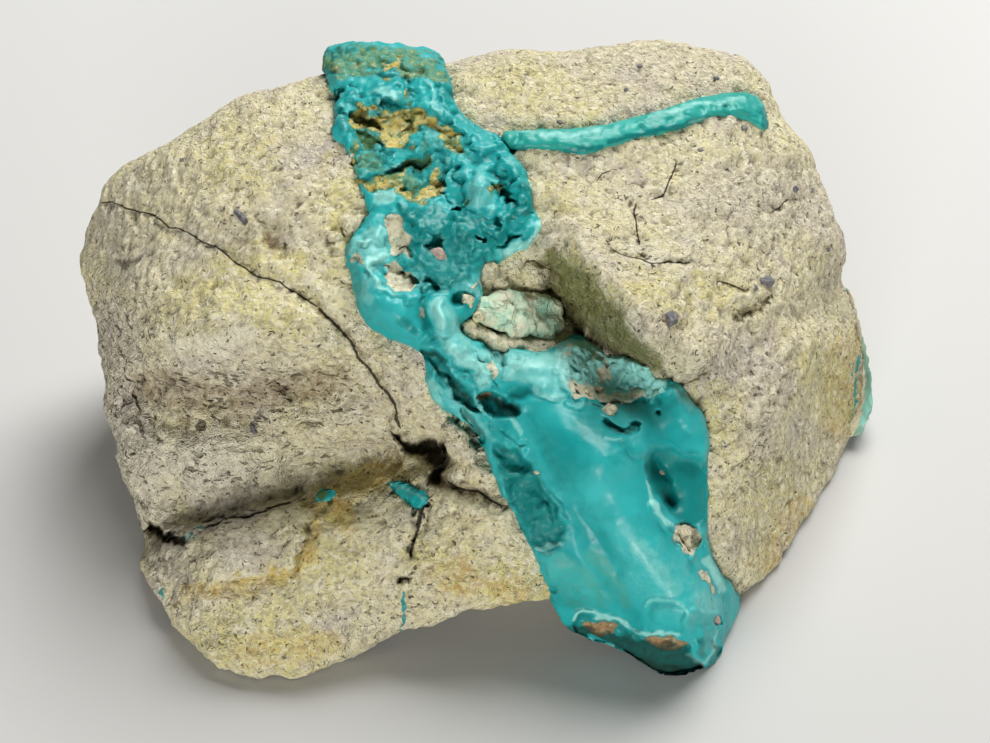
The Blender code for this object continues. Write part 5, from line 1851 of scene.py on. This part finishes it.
@dataclass
class Studio:
    """The plain floor, the soft lights and the camera."""

    lamps: tuple[Lamp, ...] = LAMPS
    aim: Point = (0.0, 0.0, 0.015)
    floor_size: float = 3.0
    sky: Colour = (1.0, 1.0, 1.0)
    sky_strength: float = 0.055

    def add_floor(self) -> None:
        """Lays the floor under the nugget."""
        bpy.ops.mesh.primitive_plane_add(size=self.floor_size)
        floor = bpy.context.object
        floor.name = "Floor"
        floor.data.materials.append(FloorFinish().make())

    def add_light(self, lamp: Lamp) -> None:
        """Hangs a light that points at the nugget."""
        bpy.ops.object.light_add(type="AREA", location=lamp.place)
        light = bpy.context.object
        light.name = lamp.name
        light.data.shape = "SQUARE"
        light.data.size = lamp.size
        light.data.energy = lamp.watts
        light.data.color = lamp.colour
        away = Vector(lamp.place) - Vector(self.aim)
        light.rotation_euler = away.to_track_quat("Z", "Y").to_euler()

    def build(self) -> None:
        """Sets up the floor, the lights and the camera."""
        PICTURE.make_camera()
        self.add_floor()
        for lamp in self.lamps:
            self.add_light(lamp)
        world = bpy.data.worlds.new("Studio_sky")
        world.use_nodes = True
        sky = world.node_tree.nodes["Background"]
        sky.inputs["Color"].default_value = (*self.sky, 1)
        sky.inputs["Strength"].default_value = self.sky_strength
        scene = bpy.context.scene
        scene.world = world
        scene.view_settings.view_transform = "Standard"
        LOG.info("Studio ready")


def build_turquoise() -> list[bpy.types.Object]:
    """Models every piece of turquoise.

    Returns:
        The pieces.
    """
    green_wax = TurquoiseFinish("Waxy green turquoise", middle=(0.01, 0.28, 0.24), light=(0.04, 0.38, 0.33))
    chip_wax = TurquoiseFinish("Chip turquoise")
    crust_wax = TurquoiseFinish(
        "Crust turquoise", middle=(0.14, 0.30, 0.24), light=(0.30, 0.42, 0.32), waxiness=0.6
    )
    side = SmallVein(
        "side_vein", "Side_vein_skin", "side_turquoise", green_wax, cell=0.00017, unevenness=0.4, seed=2.0,
        relief=domes(
            (9, 0.5, [(506, 137)]), (9, 0.3, [(560, 141)]), (9, 0.3, [(625, 130)]), (9, 0.4, [(690, 113)]),
            (10, 0.5, [(742, 106), (756, 108)]), (6, -0.4, [(640, 129)]), (6, -0.4, [(670, 120)]),
            (6, -0.4, [(702, 112)]), (5, -0.5, [(728, 104)]), (5, -0.5, [(516, 139)]),
        ),
        colours={
            "pale": daubs(
                (0.6, 5, [(520, 132), (560, 134), (600, 129)]), (0.6, 5, [(650, 115), (690, 105), (745, 98)]),
                (0.6, 4, [(540, 150), (560, 152)]), (0.5, 4, [(690, 124), (704, 120)]),
            ),
            "deep": daubs(
                (0.9, 6, [(520, 150), (560, 152), (600, 148)]),
                (0.9, 6, [(610, 144), (660, 130), (710, 120)]),
                (0.7, 7, [(764, 112), (764, 126)]), (0.6, 5, [(726, 104), (732, 116)]),
            ),
        },
    )
    crust = SmallVein(
        "edge_crust", "Edge_crust_skin", "crust_turquoise", crust_wax, cell=0.00025,
        swelling=-0.0006, unevenness=0.3, seed=6.0,
        colours={
            "cream": daubs((1.0, 8, [(850, 296), (857, 340), (860, 400), (850, 434)])),
            "pale": daubs((0.6, 14, [(866, 400), (860, 420)])),
        },
    )
    chip = SmallVein(
        "turquoise_chip", "Turquoise_chip_skin", "chip_turquoise", chip_wax, cell=0.00013, seed=8.0,
        relief=domes((34, -0.5, [(400, 494), (412, 498)])),
        colours={
            "deep": daubs((0.6, 6, [(392, 492), (410, 508)])),
            "pale": daubs((0.5, 5, [(400, 486), (420, 495)])),
        },
    )
    small_chip = SmallVein(
        "small_chip", "Small_chip_skin", "chip_turquoise", chip_wax, cell=0.00013, seed=11.0,
        relief=domes((24, -0.5, [(325, 496)])),
        colours={
            "green": daubs((0.9, 14, [(322, 497)])),
            "deep": daubs((1.0, 6, [(317, 499)])),
        },
    )
    veins = (MainVein(VEIN_RELIEF, VEIN_COLOURS), side, crust, chip, small_chip)
    return [vein.build() for vein in veins]


def build_grains(rock: bpy.types.Object, others: list[bpy.types.Object]) -> None:
    """Sets the crystals and pebbles.

    Args:
        rock: The finished host rock.
        others: The other finished pieces that carry grains.
    """
    grey = GrainFinish("Grey crystal", tint=(0.17, 0.165, 0.175), shade=(0.07, 0.07, 0.08), roughness=0.5)
    pink = GrainFinish("Pinkish pebble", tint=(0.44, 0.33, 0.27), shade=(0.28, 0.22, 0.19), roughness=0.8)
    crystals = Grains(
        "Grey_crystals", "host_rock", grey.make(),
        [
            Grain(766, 281, 15, 10, 30), Grain(755, 288, 8, 5, 20), Grain(671, 317, 12, 11, 70),
            Grain(744, 128, 7, 5), Grain(795, 189, 7, 6), Grain(812, 190, 5, 4), Grain(240, 216, 18, 6, -12),
            Grain(253, 428, 11, 5, 10), Grain(640, 66, 5, 4), Grain(560, 122, 5, 4), Grain(700, 150, 5, 4),
            Grain(626, 90, 4, 4), Grain(182, 160, 5, 4), Grain(716, 78, 6, 4), Grain(828, 250, 4, 4),
        ],
        seed=3,
    )
    crystals.build([rock])
    pebbles = Grains(
        "Pink_pebbles", "fragment", pink.make(),
        [Grain(440, 255, 18, 16, 20, -0.15), Grain(716, 620, 9, 13, 10, 0.05)],
        angular=False, unevenness=0.2, seed=5,
    )
    pebbles.build([rock, *others])
    stones = Grains(
        "Cream_stones", "fragment", rock.data.materials[0],
        [
            Grain(535, 276, 25, 20, 10), Grain(484, 270, 17, 19, 30, 0.1), Grain(500, 284, 12, 10),
            Grain(684, 537, 22, 21, 40, 0.3), Grain(609, 410, 13, 14, 0, 0.15),
            Grain(357, 222, 26, 14, -20, -0.1), Grain(338, 238, 16, 13, 0, -0.1),
            Grain(468, 330, 16, 14, 10), Grain(480, 318, 12, 10), Grain(470, 300, 10, 12),
            Grain(600, 390, 12, 8, 20), Grain(586, 392, 9, 7),
        ],
        angular=False, unevenness=0.35, seed=7,
    )
    stones.build([rock, *others])


def main() -> None:
    """Builds the whole scene."""
    Studio().build()
    grit = RockFinish().make()
    turquoise = build_turquoise()
    chalk = ChunkFinish().make()
    chunk = StoneBit("pocket_chunk", "Pocket_chunk_skin", "pale_chunk", chalk, seed=3.0).build()
    fragment = StoneBit(
        "wedged_fragment", "Wedged_fragment_skin", "fragment", grit, seed=5.0, lump_height=0.0006
    ).build()
    inlays = [*turquoise, chunk, fragment]
    rock = HostRock(grit, ROCK_CRACKS, ROCK_RELIEF, ROCK_COLOURS).build([*turquoise, fragment])
    build_grains(rock, inlays)


if __name__ == "__main__":
    main()
